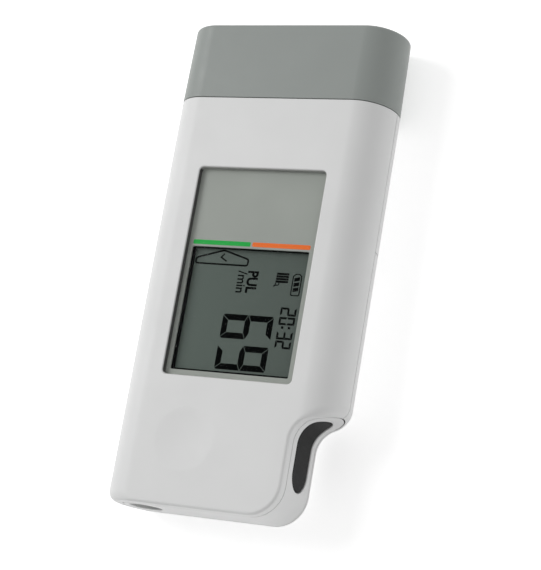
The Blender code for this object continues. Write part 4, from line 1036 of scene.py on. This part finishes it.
def corner(inset, y, radius, start, end, steps=6):
    """Profile points of a rounded corner about a centre."""
    return [polar((inset, y), radius, start + (end - start) * step / steps) for step in range(steps + 1)]


cap_profile = [(CAP_WALL + CAP_TAPER + CAP_EDGE, TOP - CAP_WALL)]
cap_profile += corner(CAP_WALL + CAP_TAPER + CAP_EDGE, TOP - CAP_WALL - CAP_EDGE, CAP_EDGE, 95, 180)
cap_profile += corner(CAP_WALL - 0.15, mouth + 0.15, 0.15, 0, -90, 3)
cap_profile += corner(EASE, mouth + EASE, EASE, -90, -180, 3)
cap_profile += corner(CAP_TAPER + CAP_EDGE, TOP - CAP_EDGE, CAP_EDGE, 180, 92, 8)
cap_profile.append((CAP_TAPER + CAP_EDGE + 0.4, TOP))
grey_cap = sectioned("grey_cap", cap_profile, cap_grey)
dress(grey_cap, cap_grey, "protective_cap", ["protective_cap"], crease=40)

# %% The neck and the chest plate
NECK_TOP = box_mm("electrode_neck")[1].y
NECK_FOOT = box_mm("electrode_neck")[0].y
NECK_INSET = CAP_WALL + 0.4
recess = NECK_INSET + 3.6
neck_profile = [(NECK_INSET + WALL + 0.1, NECK_TOP - 2.4), (NECK_INSET + WALL, NECK_TOP - 2.5)]
neck_profile += [(NECK_INSET + WALL, NECK_FOOT), (NECK_INSET, NECK_FOOT)]
neck_profile += corner(NECK_INSET + 1.2, NECK_TOP - 1.2, 1.2, 180, 90, 8)
neck_profile += corner(recess - 0.2, NECK_TOP - 0.2, 0.2, 90, 0, 4)
neck_profile += [(recess, NECK_TOP - 0.8), (recess + 0.4, NECK_TOP - 0.8)]
neck = sectioned("neck", neck_profile, white_casing)
stud_stations = [(-4.4, 2.5), (-1.0, 2.5), (-0.4, 3.1)]
carve(neck, turned("stud_hole", (0, NECK_TOP, MID), "Y", stud_stations, 48))


def bead(side):
    """A snap bead across the neck, rounded over and faded out at its ends."""
    face = MID + side * (MID - NECK_INSET)
    middle = SEAM_Y + 5
    rings = []
    for x, share in ((-8, 0.05), (-7.7, 0.6), (-7.2, 1), (7.2, 1), (7.7, 0.6), (8, 0.05)):
        ring = [(x, middle - 1.2, face - side * 0.7), (x, middle - 1.2, face)]
        for step in range(1, 8):
            swell = 0.25 * share * math.sin(math.pi * step / 8)
            ring.append((x, middle - 1.2 + 0.3 * step, face + side * swell))
        ring += [(x, middle + 1.2, face), (x, middle + 1.2, face - side * 0.7)]
        rings.append(ring)
    return loft("bead", rings)


carve(neck, bead(1), bead(-1), way="UNION")
dress(neck, white_casing, stands_for=["electrode_neck"])

PLATE_TOP = box_mm("chest_electrode")[1].y
plate_inset = recess + CAD_GAP
plate_profile = [(plate_inset + 0.3, NECK_TOP - 0.5), (plate_inset, NECK_TOP - 0.4)]
plate_profile += corner(plate_inset + 0.5, PLATE_TOP - 0.5, 0.5, 180, 92, 6)
plate_profile.append((plate_inset + 0.8, PLATE_TOP))
chest_plate = sectioned("chest_plate", plate_profile, plate_steel)
stud = turned("stud", (0, NECK_TOP - 0.5, MID), "Y", [(-2.8, 1.9), (-2.5, 2.2), (0.6, 2.2)], 40)
carve(chest_plate, stud, way="UNION")
dress(chest_plate, plate_steel, stands_for=["chest_electrode"])

# %% [markdown]
# ## The display
# Behind the lens lie a grey seal, the printed mask with its two coloured bars, and deeper the display itself with a
# black rim. The rim is the display's dark edge and also painted shade, for at the left it stands in for the shadow
# that the mask's edge casts on the display. The bars and the display's marks are thin plates with real thickness,
# because a painted texture would blur in a close view. Digits follow the usual seven strokes, which are cut off at a
# slant where two of them meet. They read along the casing, with their tops to the right, so a helper turns reading
# coordinates into places on the casing.

# %% Lens and coloured bars
lens_rings = []
for rise, shrink in ((0.0, 0.0), (0.75, 0.0), (0.85, 0.04), (0.9, 0.15)):
    size = (2 * (WINDOW_X - 0.16 - shrink), WINDOW_TOP - WINDOW_LOW - 0.32 - 2 * shrink)
    outline = rounded_rectangle(0, WINDOW_Y, *size, 1.05 - shrink)
    lens_rings.append([(x, y, LENS_LOW.z + rise) for x, y in outline])
window_lens = loft("window_lens", lens_rings)
dress(window_lens, clear_lens, stands_for=["display_lens"])


def sheet(name, shapes, z, thick):
    """The plain mesh of flat shapes, each a list of (x, y) points, as thin plates on a height."""
    built = bmesh.new()
    for shape in shapes:
        built.faces.new([built.verts.new((x * MM, y * MM, z * MM)) for x, y in shape])
    bmesh.ops.remove_doubles(built, verts=built.verts, dist=0.001 * MM)
    raised = bmesh.ops.extrude_face_region(built, geom=built.faces[:])["geom"]
    corners = [item for item in raised if isinstance(item, bmesh.types.BMVert)]
    bmesh.ops.translate(built, verts=corners, vec=(0, 0, thick * MM))
    mesh = bpy.data.meshes.new(name)
    built.to_mesh(mesh)
    built.free()
    made = bpy.data.objects.new(name, mesh)
    bpy.context.scene.collection.objects.link(made)
    return made


def plates(name, shapes, z, thick, finish):
    """Thin plates with their finish."""
    return dress(sheet(name, shapes, z, thick), finish)


MASK_TOP = box_mm("display_mask")[1].z
plates("green_bar", [rounded_rectangle(-8.25, 4.22, 15.7, 1.15, 0.35)], MASK_TOP, 0.03, green_print)
plates("orange_bar", [rounded_rectangle(7.88, 4.22, 15.55, 1.15, 0.35)], MASK_TOP, 0.03, orange_print)


def frame_plates(name, outer, inner, z, thick, finish):
    """A flat ring between two outlines with as many points each."""
    shapes = []
    for number in range(len(outer)):
        after = (number + 1) % len(outer)
        shapes.append([outer[number], outer[after], inner[after], inner[number]])
    return plates(name, shapes, z, thick, finish)


def window_outline(grow):
    """The window's outline, larger or smaller all round."""
    size = (2 * (WINDOW_X + grow), WINDOW_TOP - WINDOW_LOW + 2 * grow)
    return rounded_rectangle(0, WINDOW_Y, *size, WINDOW_CORNER + grow)


seal_thick = THICK - WALL - MASK_TOP - 0.02
# The seal and the liner carry painted shade: both are dark in a narrow strip at the left, and the liner's grey
# darkens the window's wall.
frame_plates("seal", window_outline(0.8), window_outline(-0.1), MASK_TOP + 0.01, seal_thick, seal_grey_painted_shade)
frame_plates("liner", window_outline(-0.01), window_outline(-0.12), THICK - WALL, 1.05, seal_grey_painted_shade)

# %% Marks of the display
FILM_LOW, FILM_HIGH = box_mm("lcd_panel")
FILM_Z = FILM_HIGH.z
INK_THICK = 0.03
# The black rim is the display's dark edge and also painted shade: at the left it stands in for the shadow that the
# mask's edge casts on the display.
rim_outer = [(FILM_LOW.x + 0.1, FILM_LOW.y + 0.1), (FILM_HIGH.x - 0.1, FILM_LOW.y + 0.1)]
rim_outer += [(FILM_HIGH.x - 0.1, FILM_HIGH.y - 0.1), (FILM_LOW.x + 0.1, FILM_HIGH.y - 0.1)]
rim_inner = [(-15.7, -27.65), (15.4, -27.65), (15.4, 3.1), (-15.7, 3.1)]
frame_plates("display_rim", rim_outer, rim_inner, FILM_Z, INK_THICK, display_ink)


def stroke(points, width, closed=False):
    """A line of even width as four-sided shapes, mitred at its bends."""
    spots = [Vector(point) for point in points]
    count = len(spots)
    pairs = []
    for number, spot in enumerate(spots):
        before = spots[(number - 1) % count] if closed or number else spot
        after = spots[(number + 1) % count] if closed or number < count - 1 else spot
        first = (spot - before).normalized() if spot != before else (after - spot).normalized()
        second = (after - spot).normalized() if after != spot else first
        across = (first + second).normalized()
        reach = width / 2 / max(across.dot(first), 0.4)
        offset = Vector((-across.y, across.x)) * reach
        pairs.append((spot + offset, spot - offset))
    shapes = []
    for number in range(count if closed else count - 1):
        first, second = pairs[number], pairs[(number + 1) % count]
        shapes.append([first[0], first[1], second[1], second[0]])
    return shapes


def digit(lit, start, end, foot, head, weight):
    """Strokes of one digit that reads from y `start` to y `end`, with its foot and head at these x."""
    width = start - end
    height = head - foot
    gap = weight * 0.08
    half = weight / 2
    middle = height / 2
    blunt = weight * 0.18
    top = [(gap + blunt, height), (width - gap - blunt, height)]
    top += [(width - gap - weight, height - weight), (gap + weight, height - weight)]
    side = [(0, middle + gap), (0, height - gap - blunt), (blunt, height - gap)]
    side += [(weight, height - weight - gap), (weight, middle + half + gap)]
    bar = [(gap, middle), (gap + weight, middle + half), (width - gap - weight, middle + half)]
    bar += [(width - gap, middle), (width - gap - weight, middle - half), (gap + weight, middle - half)]
    shapes = {
        "a": top,
        "d": [(u, height - v) for u, v in top],
        "f": side,
        "b": [(width - u, v) for u, v in side],
        "e": [(u, height - v) for u, v in side],
        "c": [(width - u, height - v) for u, v in side],
        "g": bar,
    }
    return [[(foot + v, start - u) for u, v in shapes[name]] for name in lit]


STROKES = {"0": "abcdef", "2": "abged", "3": "abgcd", "6": "acdefg", "9": "abcdfg"}
marks = digit(STROKES["6"], -13.2, -19.3, -5.1, 8.5, 1.5)
marks += digit(STROKES["9"], -20.9, -27.1, -5.1, 8.5, 1.5)
clock = (("2", -10.65, -12.75), ("0", -13.05, -15.0), ("3", -16.55, -18.6), ("2", -18.9, -20.9))
for character, start, end in clock:
    marks += digit(STROKES[character], start, end, 9.9, 14.1, 0.5)
for x, y in ((11.07, -15.63), (12.86, -15.66)):
    marks.append(rounded_rectangle(x, y, 0.6, 0.6, 0.1, 2))
plates("digits", marks, FILM_Z, INK_THICK, display_ink)

# %% [markdown]
# The small signs are a battery, a memory sign with a magnifier, a house for the reading's place in the range, and
# two units. The bars of the battery and of the memory sign are each one bar and the row tree.

# %% Small signs
house = [(-7.89, 2.75), (-7.3, 2.62), (-1.6, 0.98), (-1.12, 0.72), (-1.02, 0.4), (-1.02, -0.4)]
house += [(-1.2, -0.72), (-1.6, -0.82), (-14.5, -0.78), (-15.0, -0.72), (-15.25, -0.5)]
house += [(-15.28, 0.25), (-15.1, 0.6), (-14.7, 0.8), (-8.5, 2.65)]
signs = stroke(house, 0.42, True)
signs += stroke([(-7.73, 1.93), (-8.51, 0.99), (-6.86, 0.02)], 0.36)
battery = [(11.75, -2.75), (12.1, -2.45), (12.4, -2.2), (13.35, -2.2), (13.65, -2.45), (13.95, -2.75)]
battery += [(13.95, -7.3), (13.7, -7.55), (12.0, -7.55), (11.75, -7.3)]
signs += stroke(battery, 0.26, True)
signs += stroke([(7.35, -5.15), (6.85, -5.6)], 0.35)
signs += stroke(arc((7.75, -4.8), 0.45, 0, 330, 11), 0.22, True)
plates("signs", signs, FILM_Z, INK_THICK, display_ink)


def row_of(name, shape, count, step, finish, z, thick):
    """One thin plate, set out in a row by the tree."""
    made = sheet(name, [shape], z, thick)
    grow(made, row_tree(finish), Count=count, Step=[number * MM for number in step])
    return dress(made, finish)


charge_bar = [(12.15, -4.05), (13.55, -3.75), (13.55, -2.85), (12.15, -3.15)]
row_of("charge_bars", charge_bar, 3, (0, -1.3, 0), display_ink, FILM_Z, INK_THICK)
memory_bar = rounded_rectangle(8.9, -2.32, 3.3, 0.52, 0.08, 2)
row_of("memory_bars", memory_bar, 4, (0, -0.66, 0), display_ink, FILM_Z, INK_THICK)


def lettering(name, words, low, high, z, bold):
    """Words of the built-in type as thin plates that fill a box and read down the casing."""
    curve = bpy.data.curves.new(name, "FONT")
    curve.body = words
    curve.resolution_u = 4
    curve.offset = bold
    source = bpy.data.objects.new(name + "_type", curve)
    bpy.context.scene.collection.objects.link(source)
    flat = bpy.data.meshes.new_from_object(source.evaluated_get(bpy.context.evaluated_depsgraph_get()))
    bpy.data.objects.remove(source)
    us = [corner.co.x for corner in flat.vertices]
    vs = [corner.co.y for corner in flat.vertices]
    shapes = []
    for face in flat.polygons:
        shape = []
        for corner in face.vertices:
            u = (flat.vertices[corner].co.x - min(us)) / (max(us) - min(us))
            v = (flat.vertices[corner].co.y - min(vs)) / (max(vs) - min(vs))
            shape.append((low[0] + v * (high[0] - low[0]), high[1] - u * (high[1] - low[1])))
        shapes.append(shape)
    return plates(name, shapes, z, INK_THICK, display_ink)


lettering("pulse_unit", "PUL", (-0.5, -7.65), (2.4, -2.05), FILM_Z, 0.03)
lettering("minute_unit", "/min", (-3.1, -7.7), (-0.6, -2.1), FILM_Z, 0.012)

# %% [markdown]
# ## Behind the battery cover
# With the cover off, the cells, their springs and the screws show. A spring is a conical helix, which Geometry
# Nodes has as a curve: a circle swept along it gives the wire. The tree puts one spring on each point of the input
# mesh and turns it by an angle that the point carries. The screws use the same idea with a head that was cut once.

# %% Springs
def spring_tree(finish):
    sizes = {"Narrow": "Float", "Wide": "Float", "Length": "Float", "Wire": "Float", "Turns": "Float"}
    tree, given = tree_with("springs", sizes)
    spiral_inputs = {
        "Resolution": 28,
        "Rotations": given["Turns"],
        "Start Radius": given["Narrow"],
        "End Radius": given["Wide"],
        "Height": given["Length"],
    }
    spiral = wire(tree, "GeometryNodeCurveSpiral", spiral_inputs).outputs[0]
    circle = wire(tree, "GeometryNodeCurvePrimitiveCircle", {"Resolution": 10, "Radius": given["Wire"]})
    sweep = {"Curve": spiral, "Profile Curve": circle.outputs[0], "Fill Caps": True}
    coil = wire(tree, "GeometryNodeCurveToMesh", sweep).outputs[0]
    turn = wire(tree, "GeometryNodeInputNamedAttribute", {"Name": "turn"}, data_type="FLOAT").outputs[0]
    angles = wire(tree, "ShaderNodeCombineXYZ", {"X": turn}).outputs[0]
    rotation = wire(tree, "FunctionNodeEulerToRotation", {0: angles}).outputs[0]
    spots = {"Points": given["Geometry"], "Instance": coil, "Rotation": rotation}
    close_tree(tree, wire(tree, "GeometryNodeInstanceOnPoints", spots).outputs[0], finish)
    return tree


def points_piece(name, spots, **values):
    """A mesh of bare points, each with its own values."""
    mesh = bpy.data.meshes.new(name)
    mesh.from_pydata([Vector(spot) * MM for spot in spots], [], [])
    for label, numbers in values.items():
        attribute = mesh.attributes.new(label, "FLOAT", "POINT")
        attribute.data.foreach_set("value", numbers)
    made = bpy.data.objects.new(name, mesh)
    bpy.context.scene.collection.objects.link(made)
    return made


WIRE_RADIUS = 0.25
spring_spots = []
spring_turns = []
for number in (1, 2, 3):
    low, high = box_mm(f"cell_spring_{number}")
    turned_round = number == 2
    start_y = low.y + WIRE_RADIUS if turned_round else high.y - WIRE_RADIUS
    spring_spots.append((CELLS[number - 1].x, start_y, CELLS[number - 1].z))
    spring_turns.append(math.radians(-90 if turned_round else 90))
springs = points_piece("springs", spring_spots, turn=spring_turns)
coil_mm = {"Narrow": 1.95, "Wide": 3.05, "Length": 2.1, "Wire": WIRE_RADIUS}
coil_sizes = {label: size * MM for label, size in coil_mm.items()}
grow(springs, spring_tree(spring_steel), Turns=3.0, **coil_sizes)
dress(springs, spring_steel, stands_for=["cell_spring_1", "cell_spring_2", "cell_spring_3"], crease=60)

# %% Screws
HEAD_HEIGHT = 1.2


def screw_head():
    """A pan head with a cross recess, its seat at height nought."""
    stations = [(-HEAD_HEIGHT, 0.5), (-1.18, 1.1), (-1.0, 1.55), (-0.7, 1.78), (0.0, 1.8), (0.0, 0.9)]
    head = turned("screw_head", (0, 0, 0), "Z", stations, 40)
    bars = []
    for name, across, up in (("bar_x", 0.95, 0.22), ("bar_y", 0.22, 0.95)):
        rings = []
        for z, share in ((-1.6, 1.15), (-0.75, 0.85), (-0.5, 0.5)):
            wide, long = across * share, up * share
            rings.append([(-wide, -long, z), (wide, -long, z), (wide, long, z), (-wide, long, z)])
        bars.append(loft(name, rings))
    return carve(head, *bars)


def screw_shank():
    """A threaded shank of length one, which the tree stretches to each screw's own length."""
    stations = []
    for turn in range(12):
        stations += [(turn / 12, 0.78), ((turn + 0.5) / 12, 1.0)]
    stations.append((1.0, 0.7))
    return turned("screw_shank", (0, 0, 0), "Z", stations, 16)


def screw_tree(finish, head, shank):
    tree, given = tree_with("screws", {"Unit": "Float"})
    length = wire(tree, "GeometryNodeInputNamedAttribute", {"Name": "length"}, data_type="FLOAT").outputs[0]
    stretch = wire(tree, "ShaderNodeCombineXYZ", {"X": 1.0, "Y": 1.0, "Z": length}).outputs[0]
    sets = []
    for source, scale in ((head, (1, 1, 1)), (shank, stretch)):
        shape = wire(tree, "GeometryNodeObjectInfo", {"Object": source}).outputs["Geometry"]
        spots = {"Points": given["Geometry"], "Instance": shape, "Scale": scale}
        sets.append(wire(tree, "GeometryNodeInstanceOnPoints", spots).outputs[0])
    joined = wire(tree, "GeometryNodeJoinGeometry", {0: sets[0]})
    tree.links.new(sets[1], joined.inputs[0])
    close_tree(tree, joined.outputs[0], finish)
    return tree


screw_spots = []
screw_lengths = []
for number, (x, y) in enumerate(POSTS):
    low, high = box_mm(f"case_screw_{number + 1}")
    screw_spots.append((x, y, low.z + HEAD_HEIGHT))
    screw_lengths.append(high.z - low.z - HEAD_HEIGHT)
screws = points_piece("screws", screw_spots, length=screw_lengths)
head = screw_head()
shank = screw_shank()
grow(screws, screw_tree(screw_steel, head, shank))
for source in (head, shank):
    bpy.data.objects.remove(source)
dress(screws, screw_steel, stands_for=[f"case_screw_{n}" for n in (1, 2, 3, 4)])

# %% [markdown]
# A cell is turned from one profile: the steel can with its rolled edge, the film that wraps it and stops short of
# both ends, and the nub. The faces of the film get the first finish and the others the second. The distance from the
# flat end is kept in an attribute, and the film's finish draws its band by it.

# %% Cells
NUB = 1.0
CELL_STEPS = 56


def cell(number):
    low, high = box_mm(f"battery_cell_{number}")
    length = high.y - low.y - NUB
    radius = (high.x - low.x) / 2
    stations = [(0.0, 2.6), (0.0, 4.1), (0.12, 4.5), (0.35, 4.75), (0.4, radius - 0.12), (0.55, radius)]
    stations += [(length - 0.55, radius), (length - 0.4, radius - 0.12), (length - 0.35, 4.75)]
    stations += [(length - 0.12, 4.5), (length, 4.1), (length, 2.5), (length + 0.15, 2.4)]
    stations += [(length + 0.85, 2.4), (length + 0.96, 2.25), (length + NUB, 1.9)]
    placed = [(high.y - along if number == 2 else low.y + along, reach) for along, reach in stations]
    centre = (CELLS[number - 1].x, 0, CELLS[number - 1].z)
    piece = turned(f"cell_{number}", centre, "Y", placed, CELL_STEPS)
    attribute = piece.data.attributes.new("along", "FLOAT", "POINT")
    for index in range(len(piece.data.vertices)):
        attribute.data[index].value = stations[index // CELL_STEPS][0]
    piece.data.materials.append(cell_film)
    piece.data.materials.append(plate_steel)
    for index, face in enumerate(piece.data.polygons):
        level = (index - 2) // CELL_STEPS
        face.material_index = 0 if index > 1 and 4 <= level <= 6 else 1
    return dress(piece, None, stands_for=[f"battery_cell_{number}"], crease=40)


for number in (1, 2, 3):
    cell(number)

# %% [markdown]
# ## Finishes for the solids that stay
# The plain strips, chips and frames inside are right as they are. Each keeps its solid and gets a finish.

# %% Finishes of the solids
contacts = ["contact_link_1", "contact_link_2", "contact_positive", "contact_negative"]
solid_finishes = {
    mask_print: ["display_mask"],
    display_film_painted_shade: ["lcd_panel"],
    frame_black: ["lcd_holder", "battery_tray", "key_switch", "buzzer"],
    chip_black: ["processor_chip", "amplifier_chip"],
    board_lacquer: ["main_board"],
    plate_steel: ["radio_module", "clock_crystal"],
    strip_nickel: contacts + ["chest_contact", "finger_contact"],
}
for finish, names in solid_finishes.items():
    for name in names:
        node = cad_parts[name]
        for slot in node.material_slots:
            slot.material = finish
print("solids that stay:", sum(len(names) for names in solid_finishes.values()))

# %% [markdown]
# ## Stage, light and camera
# The recorder lies on a plain pale floor. The world is a soft light that is stronger from above and from the cap's
# end, and one large lamp from the upper left makes the left side the brightest and leaves a soft shadow. The floor
# gives off a little light too, which lifts the lower half of the sides. To the camera, and to gloss and clear
# plastic, the world looks white, while it lights the recorder at a lower level.

# %% The floor and the world
def seen_directly(tree):
    """One for rays that show the background: the camera's, and those of gloss and of clear plastic."""
    path = wire(tree, "ShaderNodeLightPath").outputs
    share = path["Is Camera Ray"]
    for ray in ("Is Glossy Ray", "Is Transmission Ray"):
        share = wire(tree, "ShaderNodeMath", {0: share, 1: path[ray]}, operation="MAXIMUM").outputs[0]
    return share


AMBIENT = 0.45
LEAN = (0.0, 0.35, 0.2)
FLOOR_GLOW = 0.35
FLOOR_GLOW_SEEN = 0.5
world = bpy.data.worlds.new("studio")
world.use_nodes = True
bpy.context.scene.world = world
sky = world.node_tree
direction = wire(sky, "ShaderNodeTexCoord").outputs["Generated"]
lean = wire(sky, "ShaderNodeVectorMath", {0: direction, 1: LEAN}, operation="DOT_PRODUCT").outputs["Value"]
level = wire(sky, "ShaderNodeMath", {0: lean, 1: AMBIENT, 2: AMBIENT}, operation="MULTIPLY_ADD").outputs[0]
strength = spread(sky, seen_directly(sky), level, 1.0, 0.0, 1.0)
sky.nodes["Background"].inputs["Color"].default_value = (1, 1, 1, 1)
sky.links.new(strength, sky.nodes["Background"].inputs["Strength"])

floor_look = bpy.data.materials.new("pale_floor")
floor_look.use_nodes = True
tree = floor_look.node_tree
shader = tree.nodes["Principled BSDF"]
shader.inputs["Base Color"].default_value = (0.9, 0.9, 0.9, 1)
shader.inputs["Roughness"].default_value = 0.9
shader.inputs["Specular IOR Level"].default_value = 0.1
shader.inputs["Emission Color"].default_value = (1, 1, 1, 1)
glow = spread(tree, seen_directly(tree), FLOOR_GLOW, FLOOR_GLOW_SEEN, 0.0, 1.0)
tree.links.new(glow, shader.inputs["Emission Strength"])
wide = 4000
floor_corners = [(x, y, -0.06) for x, y in ((-wide, -wide), (wide, -wide), (wide, wide), (-wide, wide))]
floor = make("floor", floor_corners, [[0, 1, 2, 3]])
floor.data.materials.append(floor_look)

# %% The lamp
def lamp(name, place, size, power):
    """A round soft lamp that faces the recorder."""
    light = bpy.data.lights.new(name, "AREA")
    light.shape = "DISK"
    light.size = size
    light.energy = power
    made = bpy.data.objects.new(name, light)
    made.location = place
    made.rotation_euler = (-Vector(place)).to_track_quat("-Z", "Y").to_euler()
    bpy.context.scene.collection.objects.link(made)


lamp("key_lamp", (-0.62, 0.2, 0.66), 0.5, 3.4)
print("ambient light", AMBIENT)

# %% [markdown]
# The camera stands where the photograph was taken. Its place and its three directions are written out, because they
# were worked out from the casing's own corners. The focal length and the height of the picture are in pixels.

# %% The camera
FOCAL_LENGTH = 1850
PICTURE_HEIGHT = 570
right = Vector((0.90608, 0.16760, -0.38848))
up = Vector((-0.05879, 0.95916, 0.27669))
back = Vector((0.41899, -0.22787, 0.87893))
camera_data = bpy.data.cameras.new("camera")
camera_data.sensor_fit = "VERTICAL"
camera_data.sensor_height = 36
camera_data.lens = FOCAL_LENGTH / PICTURE_HEIGHT * camera_data.sensor_height
camera_data.clip_start = 0.01
camera_data.clip_end = 50
camera = bpy.data.objects.new("camera", camera_data)
bpy.context.scene.collection.objects.link(camera)
turn = Matrix((right, up, back)).transposed().to_4x4()
camera.matrix_world = Matrix.Translation(Vector((194.4, -107.7, 411.2)) * MM) @ turn
bpy.context.scene.camera = camera
bpy.context.scene.view_settings.view_transform = "Standard"
